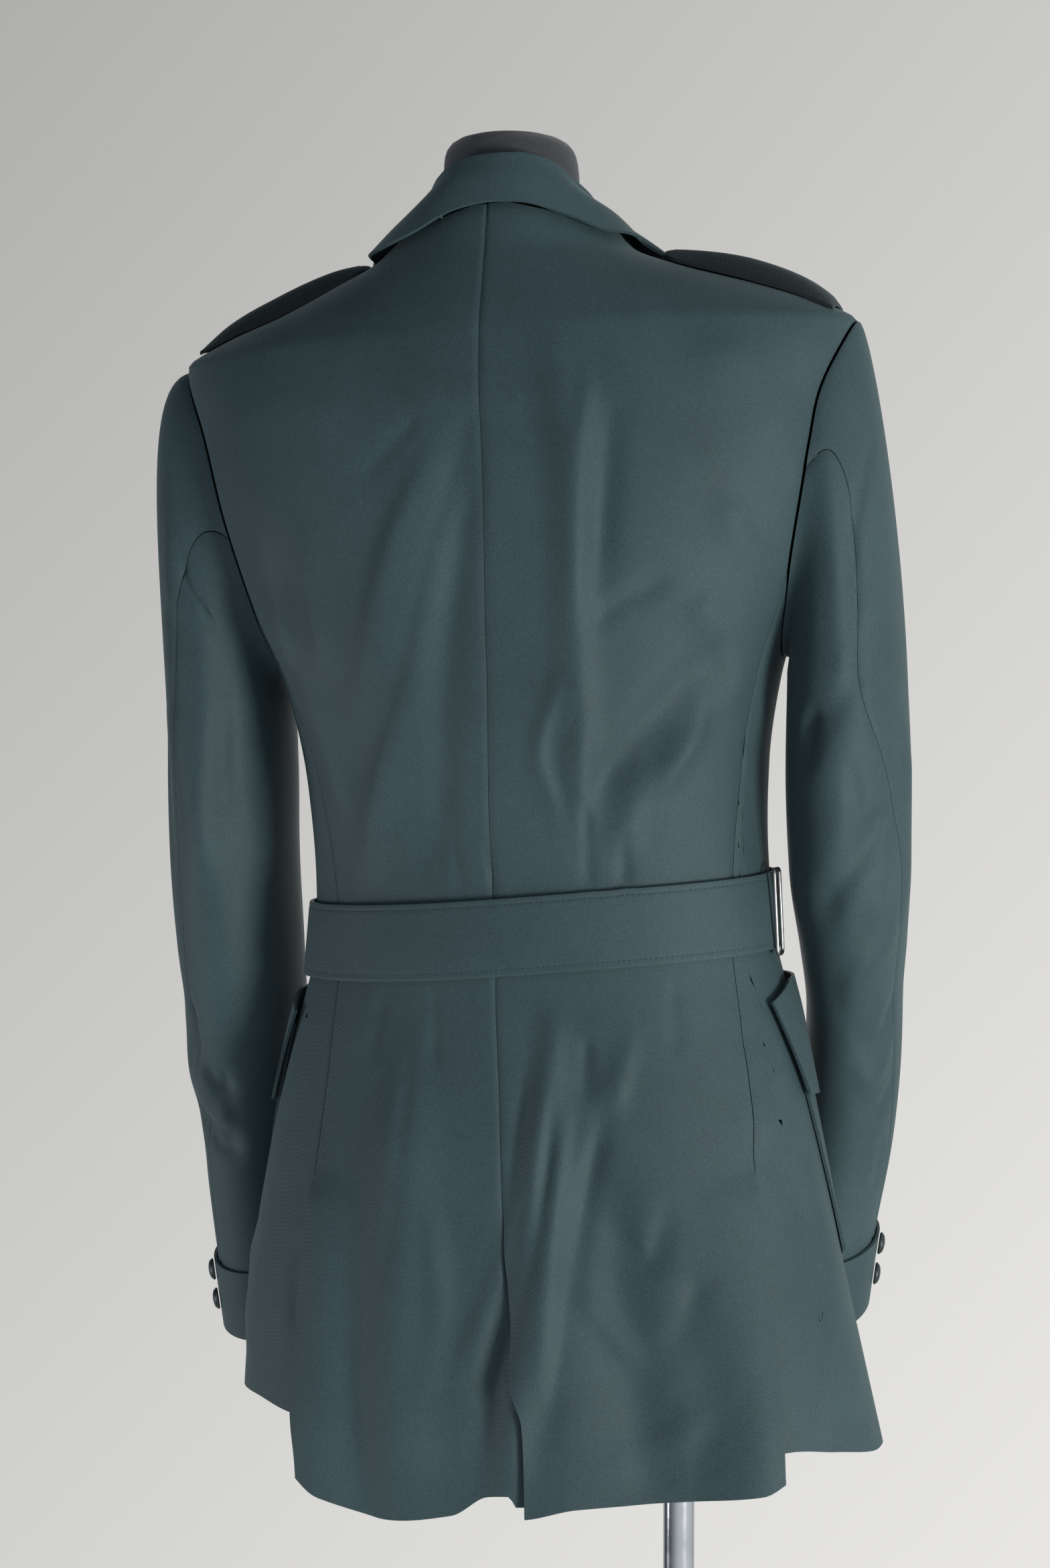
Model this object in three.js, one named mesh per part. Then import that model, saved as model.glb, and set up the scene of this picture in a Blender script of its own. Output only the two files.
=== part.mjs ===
// A belted military dress tunic on a limbless dress form with a pole stand.
// Millimetres, +Z up, the underside of the base at z = 0 and the pole on the Z axis.
// The garment faces -Y, so its back is +Y and the wearer's left is +X.
import * as THREE from 'three';

// Driving dimensions, heights from the floor
const WALL = 2;
const SEAM_GAP_ANGLE = 0.09;
const LAP = 3.1;
const VENT_LAP = 4;
const HEM_LEVEL = 715;
const WAIST_LEVEL = 1043;
const PANEL_BOTTOM = 680;
const HEM_BLEND_TOP = 782;
const LEAN_ANGLE = 2.8;
const GARMENT_X = 64;
const GARMENT_Y = 40;
const NECK_POINT = 1478;
const NECK_BACK = 1496;
const BREAK_POINT = 1262;
const VENT_TOP = 800;
const SIDE_VENT_TOP = 900;

const BELT = { height: 48, thickness: 2.4, tilt: 4.5, clearance: 2.4, flatFrom: 25, flatTo: 60 };
const ARMHOLE = {
  middle: 1310, halfHeight: 103, backDepth: 53, frontDepth: 62, cutGap: 0.4, seamLift: 0.6,
};
const CUFF_LIFT = 1.05;
const SLEEVE = { headEnd: 1195, cuffTop: 815, cuffEnd: 766, frontSeam: -110, seamGap: 0.25 };
const SLEEVE_HEAD = { spread: 0.6, fullness: { left: 20, right: -6 }, underarm: 6, drop: 0.5 };
const POCKET = { back: 82, front: 130, slant: 12, bottom: 822, top: 982, rounding: 10, lift: 1 };
const FLAP = {
  back: 76, front: 131, slant: 8.5, bottom: 928, top: 1003, corner: 11, cornerAngle: 11, point: 8, lift: 4.2,
};
const STRAP = {
  innerX: 96, outerX: 206, innerHalf: 19, outerHalf: 25, thickness: 2.4, clearance: 1.1, backset: 8,
};
const STRAP_RISE = { left: 14, right: 12 };
const STRAP_TIP = 10;
const FORM = { bottom: 880, top: 1500, capTop: 1549, neckWidth: 43.5, neckDepth: 47, neckY: 2, gap: 0.3 };
const BELT_FRAME_GAP = 0.8;
const FLANGE = { radius: 26, thickness: 14 };
const POLE_DIAMETER = 21;
const BASE = { radius: 190, edge: 4, thickness: 8, hubRadius: 24, hubTop: 48 };
const ROUND_SIDES = 28;

// Half-widths to the wearer's left and right, depths to back and front of the widest line, and how square
const BODY_SECTIONS = [
  { z: 680, left: 215, right: 211, back: 128, front: 84, middle: 24, power: 2.3 },
  { z: 760, left: 208, right: 196, back: 122, front: 85, middle: 21, power: 2.3 },
  { z: 830, left: 201, right: 183, back: 114, front: 87, middle: 17, power: 2.3 },
  { z: 910, left: 186, right: 170, back: 105, front: 89, middle: 12, power: 2.25 },
  { z: 980, left: 168, right: 158, back: 98, front: 91, middle: 6, power: 2.2 },
  { z: 1043, left: 152, right: 146, back: 94, front: 93, middle: 2, power: 2.2 },
  { z: 1090, left: 151, right: 145, back: 97, front: 95, middle: 0, power: 2.2 },
  { z: 1140, left: 153, right: 148, back: 104, front: 99, middle: 0, power: 2.2 },
  { z: 1195, left: 161, right: 158, back: 112, front: 104, middle: 0, power: 2.3 },
  { z: 1250, left: 180, right: 178, back: 117, front: 107, middle: 0, power: 2.5 },
  { z: 1310, left: 198, right: 195, back: 119, front: 107, middle: 0, power: 2.6 },
  { z: 1365, left: 211, right: 205, back: 115, front: 100, middle: 0, power: 2.45 },
  { z: 1413, left: 222, right: 217, back: 103, front: 86, middle: 0, power: 2.2 },
  { z: 1426, left: 200, right: 196, back: 97, front: 79, middle: 0, power: 2.1 },
  { z: 1440, left: 160, right: 158, back: 89, front: 71, middle: 0, power: 2.1 },
  { z: 1455, left: 124, right: 111, back: 81, front: 63, middle: 0, power: 2.1 },
  { z: 1470, left: 91, right: 77, back: 73, front: 56, middle: 0, power: 2.1 },
  { z: 1497, left: 61, right: 59, back: 61, front: 50, middle: 0, power: 2.1 },
];

// Soft folds: a ridge (height over 0) or a trough, from one place to another, angle from the centre back
const FOLDS = [
  { angle: -24, z: 1385, toAngle: -26, toZ: 1110, width: 13, height: 6 },
  { angle: 12, z: 1330, toAngle: 50, toZ: 1085, width: 20, height: 7 },
  { angle: 3, z: 1340, toAngle: 26, toZ: 1090, width: 15, height: -5 },
  { angle: 62, z: 1250, toAngle: 55, toZ: 1120, width: 13, height: 5 },
  { angle: -62, z: 1215, toAngle: -30, toZ: 1125, width: 14, height: -6 },
  { angle: -58, z: 1165, toAngle: -36, toZ: 1095, width: 12, height: 5 },
  { angle: -14, z: 985, toAngle: 2, toZ: 720, width: 14, height: 8 },
  { angle: -9, z: 975, toAngle: 9, toZ: 740, width: 12, height: -5 },
  { angle: 36, z: 960, toAngle: 30, toZ: 690, width: 22, height: 10 },
  { angle: -30, z: 900, toAngle: -36, toZ: 700, width: 20, height: -7 },
  { angle: 150, z: 960, toAngle: 146, toZ: 700, width: 20, height: 6 },
  { angle: -150, z: 960, toAngle: -148, toZ: 700, width: 20, height: 6 },
  { angle: 138, z: 1240, toAngle: 150, toZ: 1090, width: 16, height: 4 },
  { angle: -138, z: 1240, toAngle: -150, toZ: 1090, width: 16, height: 4 },
];

// The radius at which a fold's angles are turned into lengths
const BODY_FOLD_RADIUS = 150;
const SLEEVE_FOLD_RADIUS = 52;

// The hem's height round the skirt, of the back panels and of the side and front panels under them
const HEM_ROWS = [
  { angle: -190, back: 717, side: 704 },
  { angle: -120, back: 717, side: 706 },
  { angle: -87, back: 717, side: 712 },
  { angle: -72, back: 717, side: 723 },
  { angle: -62, back: 717, side: 729 },
  { angle: -55, back: 708, side: 729 },
  { angle: -38, back: 706, side: 729 },
  { angle: -17, back: 704, side: 729 },
  { angle: -2, back: 698, side: 729 },
  { angle: 2, back: 711, side: 748 },
  { angle: 8, back: 710, side: 748 },
  { angle: 18, back: 698, side: 748 },
  { angle: 34, back: 694, side: 748 },
  { angle: 48, back: 704, side: 748 },
  { angle: 58, back: 722, side: 749 },
  { angle: 70, back: 722, side: 754 },
  { angle: 98, back: 722, side: 744 },
  { angle: 140, back: 722, side: 706 },
  { angle: 190, back: 722, side: 704 },
];

// The centre-back seam, which wanders a little to the wearer's left
const CENTRE_SEAM = [
  { z: PANEL_BOTTOM, angle: 0 },
  { z: 808, angle: 0.5 },
  { z: 849, angle: 3 },
  { z: 945, angle: 5 },
  { z: 1012, angle: 6.5 },
  { z: 1070, angle: 6.5 },
  { z: 1208, angle: 1.5 },
  { z: 1335, angle: -0.5 },
  { z: 1394, angle: 0 },
  { z: 1496, angle: 2 },
];

// The seam between back and side panel, then the front edge and neck, as angles at each height
const SIDE_BACK_SEAM = [
  { z: 680, left: 53, right: 59 },
  { z: 760, left: 56, right: 61 },
  { z: 830, left: 58, right: 62.5 },
  { z: 930, left: 60, right: 66 },
  { z: 1043, left: 63, right: 69.5 },
  { z: 1140, left: 66, right: 73.5 },
  { z: 1240, left: 75, right: 75 },
];
const SIDE_FRONT_SEAM = 110;
const FRONT_EDGE = [
  { z: PANEL_BOTTOM, angle: 187 },
  { z: BREAK_POINT - 14, angle: 187 },
  { z: BREAK_POINT + 10, angle: 180 },
  { z: 1320, angle: 166 },
  { z: 1370, angle: 153 },
  { z: 1420, angle: 136 },
  { z: 1450, angle: 118 },
  { z: NECK_POINT - 3, angle: 94 },
];
const BACK_NECK = [
  { z: NECK_POINT, angle: 90 },
  { z: NECK_POINT + 5, angle: 66 },
  { z: NECK_POINT + 11, angle: 38 },
  { z: NECK_BACK, angle: 12 },
];

// The collar at angles from the centre back: its seam, its fold and the edge of its fall
const COLLAR_ROWS = [
  { angle: -134, seam: 1442, fold: 1456, foldRadius: 74, edge: 1412 },
  { angle: -112, seam: 1467, fold: 1484, foldRadius: 61, edge: 1449 },
  { angle: -88, seam: 1481, fold: 1500, foldRadius: 49.5, edge: 1473 },
  { angle: -62, seam: 1486, fold: 1511, foldRadius: 48, edge: 1472 },
  { angle: -40, seam: 1491, fold: 1521, foldRadius: 51, edge: 1482 },
  { angle: -16, seam: 1497, fold: 1526, foldRadius: 53, edge: 1492 },
  { angle: 0, seam: 1498, fold: 1526, foldRadius: 54, edge: 1493 },
  { angle: 18, seam: 1496, fold: 1525, foldRadius: 54, edge: 1490 },
  { angle: 42, seam: 1490, fold: 1517, foldRadius: 52, edge: 1477 },
  { angle: 64, seam: 1485, fold: 1509, foldRadius: 49, edge: 1470 },
  { angle: 88, seam: 1481, fold: 1502, foldRadius: 49.5, edge: 1470 },
  { angle: 112, seam: 1467, fold: 1485, foldRadius: 61, edge: 1449 },
  { angle: 134, seam: 1442, fold: 1456, foldRadius: 74, edge: 1412 },
];
const COLLAR = { foldWidth: 6, fallLift: 4, turnDrop: 5, seamLift: 0.1, aroundSteps: 28, alongSteps: 8 };

// Lapel: the angle of its turn line and of its outer edge at each height
const LAPEL_ROWS = [
  { z: BREAK_POINT + 12, turn: 180, edge: 174 },
  { z: 1300, turn: 172.5, edge: 158 },
  { z: 1340, turn: 162.5, edge: 140 },
  { z: 1380, turn: 151, edge: 121 },
  { z: 1396, turn: 146, edge: 117 },
];

// The sleeves' rings: middle, half-width, half-depth, and rise per mm towards the front
const SLEEVE_ROWS = {
  left: [
    { z: 1195, x: 209, y: -2, halfX: 39, halfY: 65, rise: 0 },
    { z: 1142, x: 212, y: -6, halfX: 40, halfY: 65, rise: 0 },
    { z: 1096, x: 215, y: -10, halfX: 40, halfY: 63, rise: 0.05 },
    { z: 1040, x: 218, y: -20, halfX: 40, halfY: 60, rise: 0.1 },
    { z: 995, x: 220, y: -30, halfX: 39, halfY: 57, rise: 0.15 },
    { z: 950, x: 225, y: -44, halfX: 39, halfY: 55, rise: 0.2 },
    { z: 905, x: 224, y: -58, halfX: 38, halfY: 53, rise: 0.2 },
    { z: 870, x: 226, y: -68, halfX: 38, halfY: 52, rise: 0.2 },
    { z: 815, x: 228, y: -81, halfX: 37, halfY: 50, rise: 0.2 },
    { z: 760, x: 227, y: -91, halfX: 37, halfY: 49, rise: 0.2 },
  ],
  right: [
    { z: 1195, x: -201, y: -2, halfX: 37, halfY: 64, rise: 0 },
    { z: 1126, x: -198, y: -8, halfX: 39, halfY: 65, rise: 0 },
    { z: 1069, x: -195, y: -20, halfX: 38, halfY: 62, rise: 0.05 },
    { z: 1023, x: -193, y: -38, halfX: 34, halfY: 58, rise: 0.12 },
    { z: 983, x: -189, y: -62, halfX: 31, halfY: 55, rise: 0.2 },
    { z: 940, x: -183, y: -82, halfX: 32, halfY: 52, rise: 0.25 },
    { z: 904, x: -176, y: -98, halfX: 33, halfY: 50, rise: 0.25 },
    { z: 870, x: -168, y: -109, halfX: 34, halfY: 49, rise: 0.25 },
    { z: 815, x: -153, y: -120, halfX: 35, halfY: 48, rise: 0.25 },
    { z: 760, x: -141, y: -128, halfX: 36, halfY: 47, rise: 0.25 },
  ],
};
const ELBOW_SEAM = [
  { along: 0, left: 96, right: 84 },
  { along: 0.6, left: 76, right: 58 },
  { along: 1, left: 66, right: 66 },
  { along: 1.15, left: 62, right: 40 },
  { along: 1.3, left: 58, right: 22 },
  { along: 1.5, left: 52, right: 24 },
  { along: 1.86, left: 44, right: 10 },
  { along: 2, left: 42, right: 7 },
];
const SLEEVE_FOLDS = [
  { side: 'left', angle: 40, z: 985, toAngle: 100, toZ: 945, width: 12, height: -5 },
  { side: 'left', angle: 30, z: 930, toAngle: 95, toZ: 905, width: 11, height: -5 },
  { side: 'left', angle: 60, z: 1200, toAngle: 90, toZ: 1090, width: 14, height: 4 },
  { side: 'right', angle: 60, z: 1210, toAngle: 130, toZ: 1140, width: 14, height: -4 },
  { side: 'right', angle: 40, z: 1110, toAngle: 110, toZ: 1050, width: 12, height: -5 },
  { side: 'right', angle: 30, z: 1040, toAngle: 90, toZ: 1000, width: 11, height: 4 },
];

// Materials
const COLOURS = { cloth: 0x2c4144, form: 0x2b2d30, steel: 0xb9bdc1, button: 0x1c2525 };
const MATERIALS = {
  cloth: { color: COLOURS.cloth, roughness: 0.78, metalness: 0 },
  form: { color: COLOURS.form, roughness: 0.9, metalness: 0 },
  steel: { color: COLOURS.steel, roughness: 0.22, metalness: 1 },
  button: { color: COLOURS.button, roughness: 0.4, metalness: 0.9 },
};

const radians = THREE.MathUtils.degToRad;
const degrees = THREE.MathUtils.radToDeg;
const smooth = (from, to, value) => THREE.MathUtils.smoothstep(value, from, to);

// Smooth interpolation of one column of a table whose rows are sorted by the key
function readTable(rows, key, column, at) {
  const forward = rows[rows.length - 1][key] > rows[0][key];
  const inOrder = forward ? rows : [...rows].reverse();
  const last = inOrder.length - 1;
  const clamped = THREE.MathUtils.clamp(at, inOrder[0][key], inOrder[last][key]);
  let i = 0;
  while (i < last - 1 && clamped > inOrder[i + 1][key]) i += 1;
  const slope = (a, b) => (inOrder[b][column] - inOrder[a][column]) / (inOrder[b][key] - inOrder[a][key]);
  const here = slope(i, i + 1);
  const before = i > 0 ? slope(i - 1, i) : here;
  const after = i + 2 <= last ? slope(i + 1, i + 2) : here;
  const gentle = (a, b) => (a * b <= 0 ? 0 : (2 * a * b) / (a + b));
  const span = inOrder[i + 1][key] - inOrder[i][key];
  const t = (clamped - inOrder[i][key]) / span;
  const startSlope = gentle(before, here) * span;
  const endSlope = gentle(here, after) * span;
  const start = inOrder[i][column];
  const end = inOrder[i + 1][column];
  return (2 * t ** 3 - 3 * t ** 2 + 1) * start + (t ** 3 - 2 * t ** 2 + t) * startSlope
    + (3 * t ** 2 - 2 * t ** 3) * end + (t ** 3 - t ** 2) * endSlope;
}

// How far a fold lifts the cloth at an angle and height, on a surface of about the given radius
function foldHeight(fold, angle, z, radius) {
  const across = radians(fold.toAngle - fold.angle) * radius;
  const along = fold.toZ - fold.z;
  const pointAcross = radians(angle - fold.angle) * radius;
  const pointAlong = z - fold.z;
  const length = Math.hypot(across, along);
  const t = (pointAcross * across + pointAlong * along) / length ** 2;
  const off = (pointAcross * along - pointAlong * across) / length;
  const taper = smooth(-0.15, 0.2, t) * (1 - smooth(0.8, 1.15, t));
  return fold.height * taper * Math.exp(-((off / fold.width) ** 2));
}

function bodyRadius(angle, z) {
  const column = (name) => readTable(BODY_SECTIONS, 'z', name, z);
  const turn = radians(angle);
  const halfWidth = Math.sin(turn) >= 0 ? column('left') : column('right');
  const depth = Math.cos(turn) >= 0 ? column('back') : column('front');
  const power = column('power');
  const sum = Math.abs(Math.sin(turn) / halfWidth) ** power + Math.abs(Math.cos(turn) / depth) ** power;
  const wrapped = ((angle + 180) % 360 + 360) % 360 - 180;
  const awayFromBelt = smooth(BELT.flatFrom, BELT.flatTo, Math.abs(z - WAIST_LEVEL));
  const lift = FOLDS.reduce((total, fold) => total + foldHeight(fold, wrapped, z, BODY_FOLD_RADIUS), 0);
  return sum ** (-1 / power) + lift * awayFromBelt;
}

function bodyPoint(angle, z) {
  const radius = bodyRadius(angle, z);
  const middle = readTable(BODY_SECTIONS, 'z', 'middle', z);
  return new THREE.Vector3(radius * Math.sin(radians(angle)), middle + radius * Math.cos(radians(angle)), z);
}

// The outward direction of any surface given as a function of two values, for small steps of each
function outward(surface, a, b, stepA, stepB) {
  const alongA = surface(a + stepA, b).sub(surface(a - stepA, b));
  const alongB = surface(a, b + stepB).sub(surface(a, b - stepB));
  return alongB.cross(alongA).normalize();
}

function onBody(angle, z, lift) {
  return bodyPoint(angle, z).addScaledVector(outward(bodyPoint, angle, z, 0.5, 1), lift);
}

// The angle at which the body's section at this height reaches a depth, on the back or the front half
function angleAtDepth(depth, z, side) {
  const column = (name) => readTable(BODY_SECTIONS, 'z', name, z);
  const fromMiddle = depth - column('middle');
  const reach = fromMiddle >= 0 ? column('back') : column('front');
  const power = column('power');
  const share = Math.min(1, Math.abs(fromMiddle) / reach);
  const across = column(side) * (1 - share ** power) ** (1 / power);
  return degrees(Math.atan2(across, fromMiddle));
}

// The armhole's depth at a height, cut a little larger than the sleeve that is sewn into it
function armholeDepth(half, z) {
  const rise = (z - ARMHOLE.middle) / (ARMHOLE.halfHeight + ARMHOLE.cutGap);
  const share = Math.sqrt(Math.max(0, 1 - rise * rise));
  if (half === 'back') return (ARMHOLE.backDepth + ARMHOLE.cutGap) * share;
  return -(ARMHOLE.frontDepth + ARMHOLE.cutGap) * share;
}

// A closed wall from a grid of outer and inner points, wrapped round where it is a ring
function wallGeometry(grid, ring) {
  const rows = grid.length;
  const columns = grid[0].length;
  const positions = [];
  grid.flat().forEach((cell) => positions.push(...cell.outer.toArray()));
  grid.flat().forEach((cell) => positions.push(...cell.inner.toArray()));
  const outer = (row, column) => row * columns + (column % columns);
  const inner = (row, column) => rows * columns + outer(row, column);
  const faces = [];
  const quad = (a, b, c, d) => faces.push(a, b, c, a, c, d);
  const spans = ring ? columns : columns - 1;
  for (let row = 0; row < rows - 1; row += 1) {
    for (let column = 0; column < spans; column += 1) {
      quad(outer(row, column), outer(row + 1, column), outer(row + 1, column + 1), outer(row, column + 1));
      quad(inner(row, column), inner(row, column + 1), inner(row + 1, column + 1), inner(row + 1, column));
    }
  }
  for (let column = 0; column < spans; column += 1) {
    quad(outer(0, column), outer(0, column + 1), inner(0, column + 1), inner(0, column));
    const top = rows - 1;
    quad(outer(top, column), inner(top, column), inner(top, column + 1), outer(top, column + 1));
  }
  if (!ring) {
    const side = columns - 1;
    for (let row = 0; row < rows - 1; row += 1) {
      quad(outer(row, 0), inner(row, 0), inner(row + 1, 0), outer(row + 1, 0));
      quad(outer(row, side), outer(row + 1, side), inner(row + 1, side), inner(row, side));
    }
  }
  const geometry = new THREE.BufferGeometry();
  geometry.setAttribute('position', new THREE.Float32BufferAttribute(positions, 3));
  geometry.setIndex(faces);
  geometry.computeVertexNormals();
  return geometry;
}

// A piece of cloth: cell(u, v) gives angle, height and lift, and place turns those into a point
function clothGeometry({ rows, columns, cell, place, wall = WALL, ring = false }) {
  const grid = rows.map((v) => Array.from({ length: columns + (ring ? 0 : 1) }, (_, column) => {
    const { angle, z, lift } = cell(column / columns, v);
    return { outer: place(angle, z, lift), inner: place(angle, z, lift - wall) };
  }));
  return wallGeometry(grid, ring);
}

const evenly = (count) => Array.from({ length: count + 1 }, (_, i) => i / count);

function addMesh(parent, name, geometry, kind) {
  const material = new THREE.MeshStandardMaterial(MATERIALS[kind]);
  const mesh = new THREE.Mesh(geometry, material);
  mesh.name = name;
  parent.add(mesh);
  return mesh;
}

// Heights of a panel's rows, from the hem to the shoulder, closer together over the shoulder
const SKIRT_ROWS = [PANEL_BOTTOM, 714, 748, 782, 816, 850, 884, 918, 952, 986, 1010];
const TORSO_ROWS = [
  1043, 1076, 1110, 1145, 1180, 1212, 1240, 1262, 1285, 1310, 1335, 1358, 1380, 1398, 1408,
];
const SHOULDER_ROWS = [1413.6, 1426, 1440, 1455, 1468, NECK_POINT - 3];
const NECK_ROWS = [NECK_POINT + 3, NECK_POINT + 8, NECK_BACK];

// The lowest rows follow the hem's own height
function withHem(panel, angle, z) {
  const hem = readTable(HEM_ROWS, 'angle', panel, angle);
  const share = 1 - smooth(PANEL_BOTTOM, HEM_BLEND_TOP, z);
  return z + (hem - PANEL_BOTTOM) * share;
}

// The back panel's outer edge: side seam, then armhole, then shoulder seam, then neck
function backEdge(side, z) {
  if (z > NECK_POINT) return readTable(BACK_NECK, 'z', 'angle', z);
  if (z > ARMHOLE.middle + ARMHOLE.halfHeight) return 90;
  const armhole = angleAtDepth(armholeDepth('back', z), z, side);
  const seam = readTable(SIDE_BACK_SEAM, 'z', side, z);
  if (z > ARMHOLE.middle) return armhole;
  return z > ARMHOLE.middle - ARMHOLE.halfHeight ? Math.min(armhole, seam) : seam;
}

// Below the side vent's top the back panel stands out over the side panel
const SIDE_VENT = {
  firstStep: 3.2, flare: 12, stepHeight: 25, underlap: 8, underlapFrom: 55, underlapTo: 115,
};
const ventStep = (z) => {
  const below = SIDE_VENT_TOP - z;
  const flareEnd = SIDE_VENT_TOP - PANEL_BOTTOM - 10;
  return SIDE_VENT.firstStep * smooth(0, SIDE_VENT.stepHeight, below)
    + SIDE_VENT.flare * smooth(SIDE_VENT.stepHeight - 5, flareEnd, below);
};
const ventUnderlap = (z) => (
  SIDE_VENT.underlap * smooth(SIDE_VENT.underlapFrom, SIDE_VENT.underlapTo, SIDE_VENT_TOP - z)
);

// At the centre vent the right back panel stands out over the left one, which runs on under it
const CENTRE_VENT = { riseFrom: 84, riseTo: 16, underlap: 9, turn: 2, openFrom: 18, openTo: 50 };

function backCell(sign) {
  const side = sign > 0 ? 'left' : 'right';
  return (u, z) => {
    const across = sign > 0 ? u : 1 - u;
    const edge = backEdge(side, z) - SEAM_GAP_ANGLE;
    const raised = 1 - smooth(VENT_TOP + CENTRE_VENT.riseTo, VENT_TOP + CENTRE_VENT.riseFrom, z);
    const open = 1 - smooth(VENT_TOP - CENTRE_VENT.openTo, VENT_TOP - CENTRE_VENT.openFrom, z);
    const overlap = sign < 0 ? VENT_LAP * raised : 0;
    const widerGap = 0.3 * smooth(0, 0.4, overlap) + 0.25 * (overlap / VENT_LAP);
    const seam = sign * readTable(CENTRE_SEAM, 'z', 'angle', z) + SEAM_GAP_ANGLE;
    const inner = seam + widerGap + open * (sign > 0 ? -CENTRE_VENT.underlap : CENTRE_VENT.turn);
    const angle = THREE.MathUtils.lerp(inner, edge, across);
    const vent = ventStep(z) * smooth(edge - 16, edge - 2, angle);
    const lift = vent + overlap * (1 - smooth(CENTRE_VENT.underlap + 4, CENTRE_VENT.underlap + 18, angle));
    return { angle: sign * angle, z: withHem('back', sign * Math.max(angle, 0), z), lift };
  };
}

// Side panel: from under the back panel to the front, up to the armhole's lower curve
function sideCell(sign) {
  const side = sign > 0 ? 'left' : 'right';
  return (u, v) => {
    const across = sign > 0 ? u : 1 - u;
    let z = THREE.MathUtils.lerp(PANEL_BOTTOM, ARMHOLE.middle - ARMHOLE.halfHeight, v);
    let angle = 90;
    for (let step = 0; step < 8; step += 1) {
      const start = readTable(SIDE_BACK_SEAM, 'z', side, z) - ventUnderlap(z) + SEAM_GAP_ANGLE;
      angle = THREE.MathUtils.lerp(start, SIDE_FRONT_SEAM - SEAM_GAP_ANGLE, across);
      z = THREE.MathUtils.lerp(PANEL_BOTTOM, armholeBottom(side, angle), v);
    }
    return { angle: sign * angle, z: withHem('side', sign * angle, z), lift: 0 };
  };
}

// The height of the armhole's lower edge at an angle
function armholeBottom(side, angle) {
  let low = ARMHOLE.middle - ARMHOLE.halfHeight - ARMHOLE.cutGap;
  let high = ARMHOLE.middle;
  for (let step = 0; step < 24; step += 1) {
    const z = (low + high) / 2;
    const backAngle = angleAtDepth(armholeDepth('back', z), z, side);
    const frontAngle = angleAtDepth(armholeDepth('front', z), z, side);
    if (angle > backAngle && angle < frontAngle) high = z;
    else low = z;
  }
  return high;
}

function frontEdgeOuter(side, z) {
  if (z > ARMHOLE.middle + ARMHOLE.halfHeight) return 90;
  const armhole = angleAtDepth(armholeDepth('front', z), z, side);
  if (z > ARMHOLE.middle) return armhole;
  return z > ARMHOLE.middle - ARMHOLE.halfHeight ? Math.max(armhole, SIDE_FRONT_SEAM) : SIDE_FRONT_SEAM;
}

// The wearer's left front laps over the right, so it stands out by a lap near the centre
const frontLap = (angle) => LAP * smooth(160, 170, angle);

function frontCell(sign) {
  const side = sign > 0 ? 'left' : 'right';
  return (u, z) => {
    const across = sign > 0 ? u : 1 - u;
    const outer = frontEdgeOuter(side, z) + SEAM_GAP_ANGLE;
    const inner = readTable(FRONT_EDGE, 'z', 'angle', z);
    const angle = THREE.MathUtils.lerp(outer, inner, across);
    const lift = sign > 0 ? frontLap(angle) : 0;
    return { angle: sign * angle, z: withHem('side', sign * Math.min(angle, 180), z), lift };
  };
}

// A pocket's edges slant forward as they go down, and its lower corners are rounded
function pocketCell(sign) {
  return (u, v) => {
    const across = sign > 0 ? u : 1 - u;
    const bottom = POCKET.bottom + POCKET.rounding * Math.abs(2 * across - 1) ** 6;
    const slant = POCKET.slant * (1 - v) * (1 - across);
    const angle = THREE.MathUtils.lerp(POCKET.back, POCKET.front, across) + slant;
    return { angle: sign * angle, z: THREE.MathUtils.lerp(bottom, POCKET.top, v), lift: POCKET.lift + WALL };
  };
}

// A flap comes down to a soft point in its middle, and its upper corners are cut off
function flapCell(sign) {
  return (u, v) => {
    const across = sign > 0 ? u : 1 - u;
    const point = FLAP.point * (1 - Math.abs(2 * across - 1));
    const bottom = FLAP.bottom - point + FLAP.point / 2;
    const fromSide = Math.min(across, 1 - across) * (FLAP.front - FLAP.back);
    const top = FLAP.top - FLAP.corner * (1 - Math.min(1, fromSide / FLAP.cornerAngle));
    const slant = FLAP.slant * (1 - v) * (1 - across);
    const angle = THREE.MathUtils.lerp(FLAP.back, FLAP.front, across) + slant;
    return { angle: sign * angle, z: THREE.MathUtils.lerp(bottom, top, v), lift: FLAP.lift + WALL };
  };
}

function lapelCell(sign) {
  return (u, v) => {
    const across = sign > 0 ? u : 1 - u;
    const first = LAPEL_ROWS[0].z;
    const z = THREE.MathUtils.lerp(first, LAPEL_ROWS[LAPEL_ROWS.length - 1].z, v);
    const turn = readTable(LAPEL_ROWS, 'z', 'turn', z) - 1;
    const edge = readTable(LAPEL_ROWS, 'z', 'edge', z);
    const angle = THREE.MathUtils.lerp(edge, turn, across);
    const roll = 5 * Math.sin(Math.PI * Math.min(1, across * 1.1));
    const lift = 1 + WALL + frontLap(angle) + roll;
    return { angle: sign * angle, z, lift };
  };
}

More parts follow.
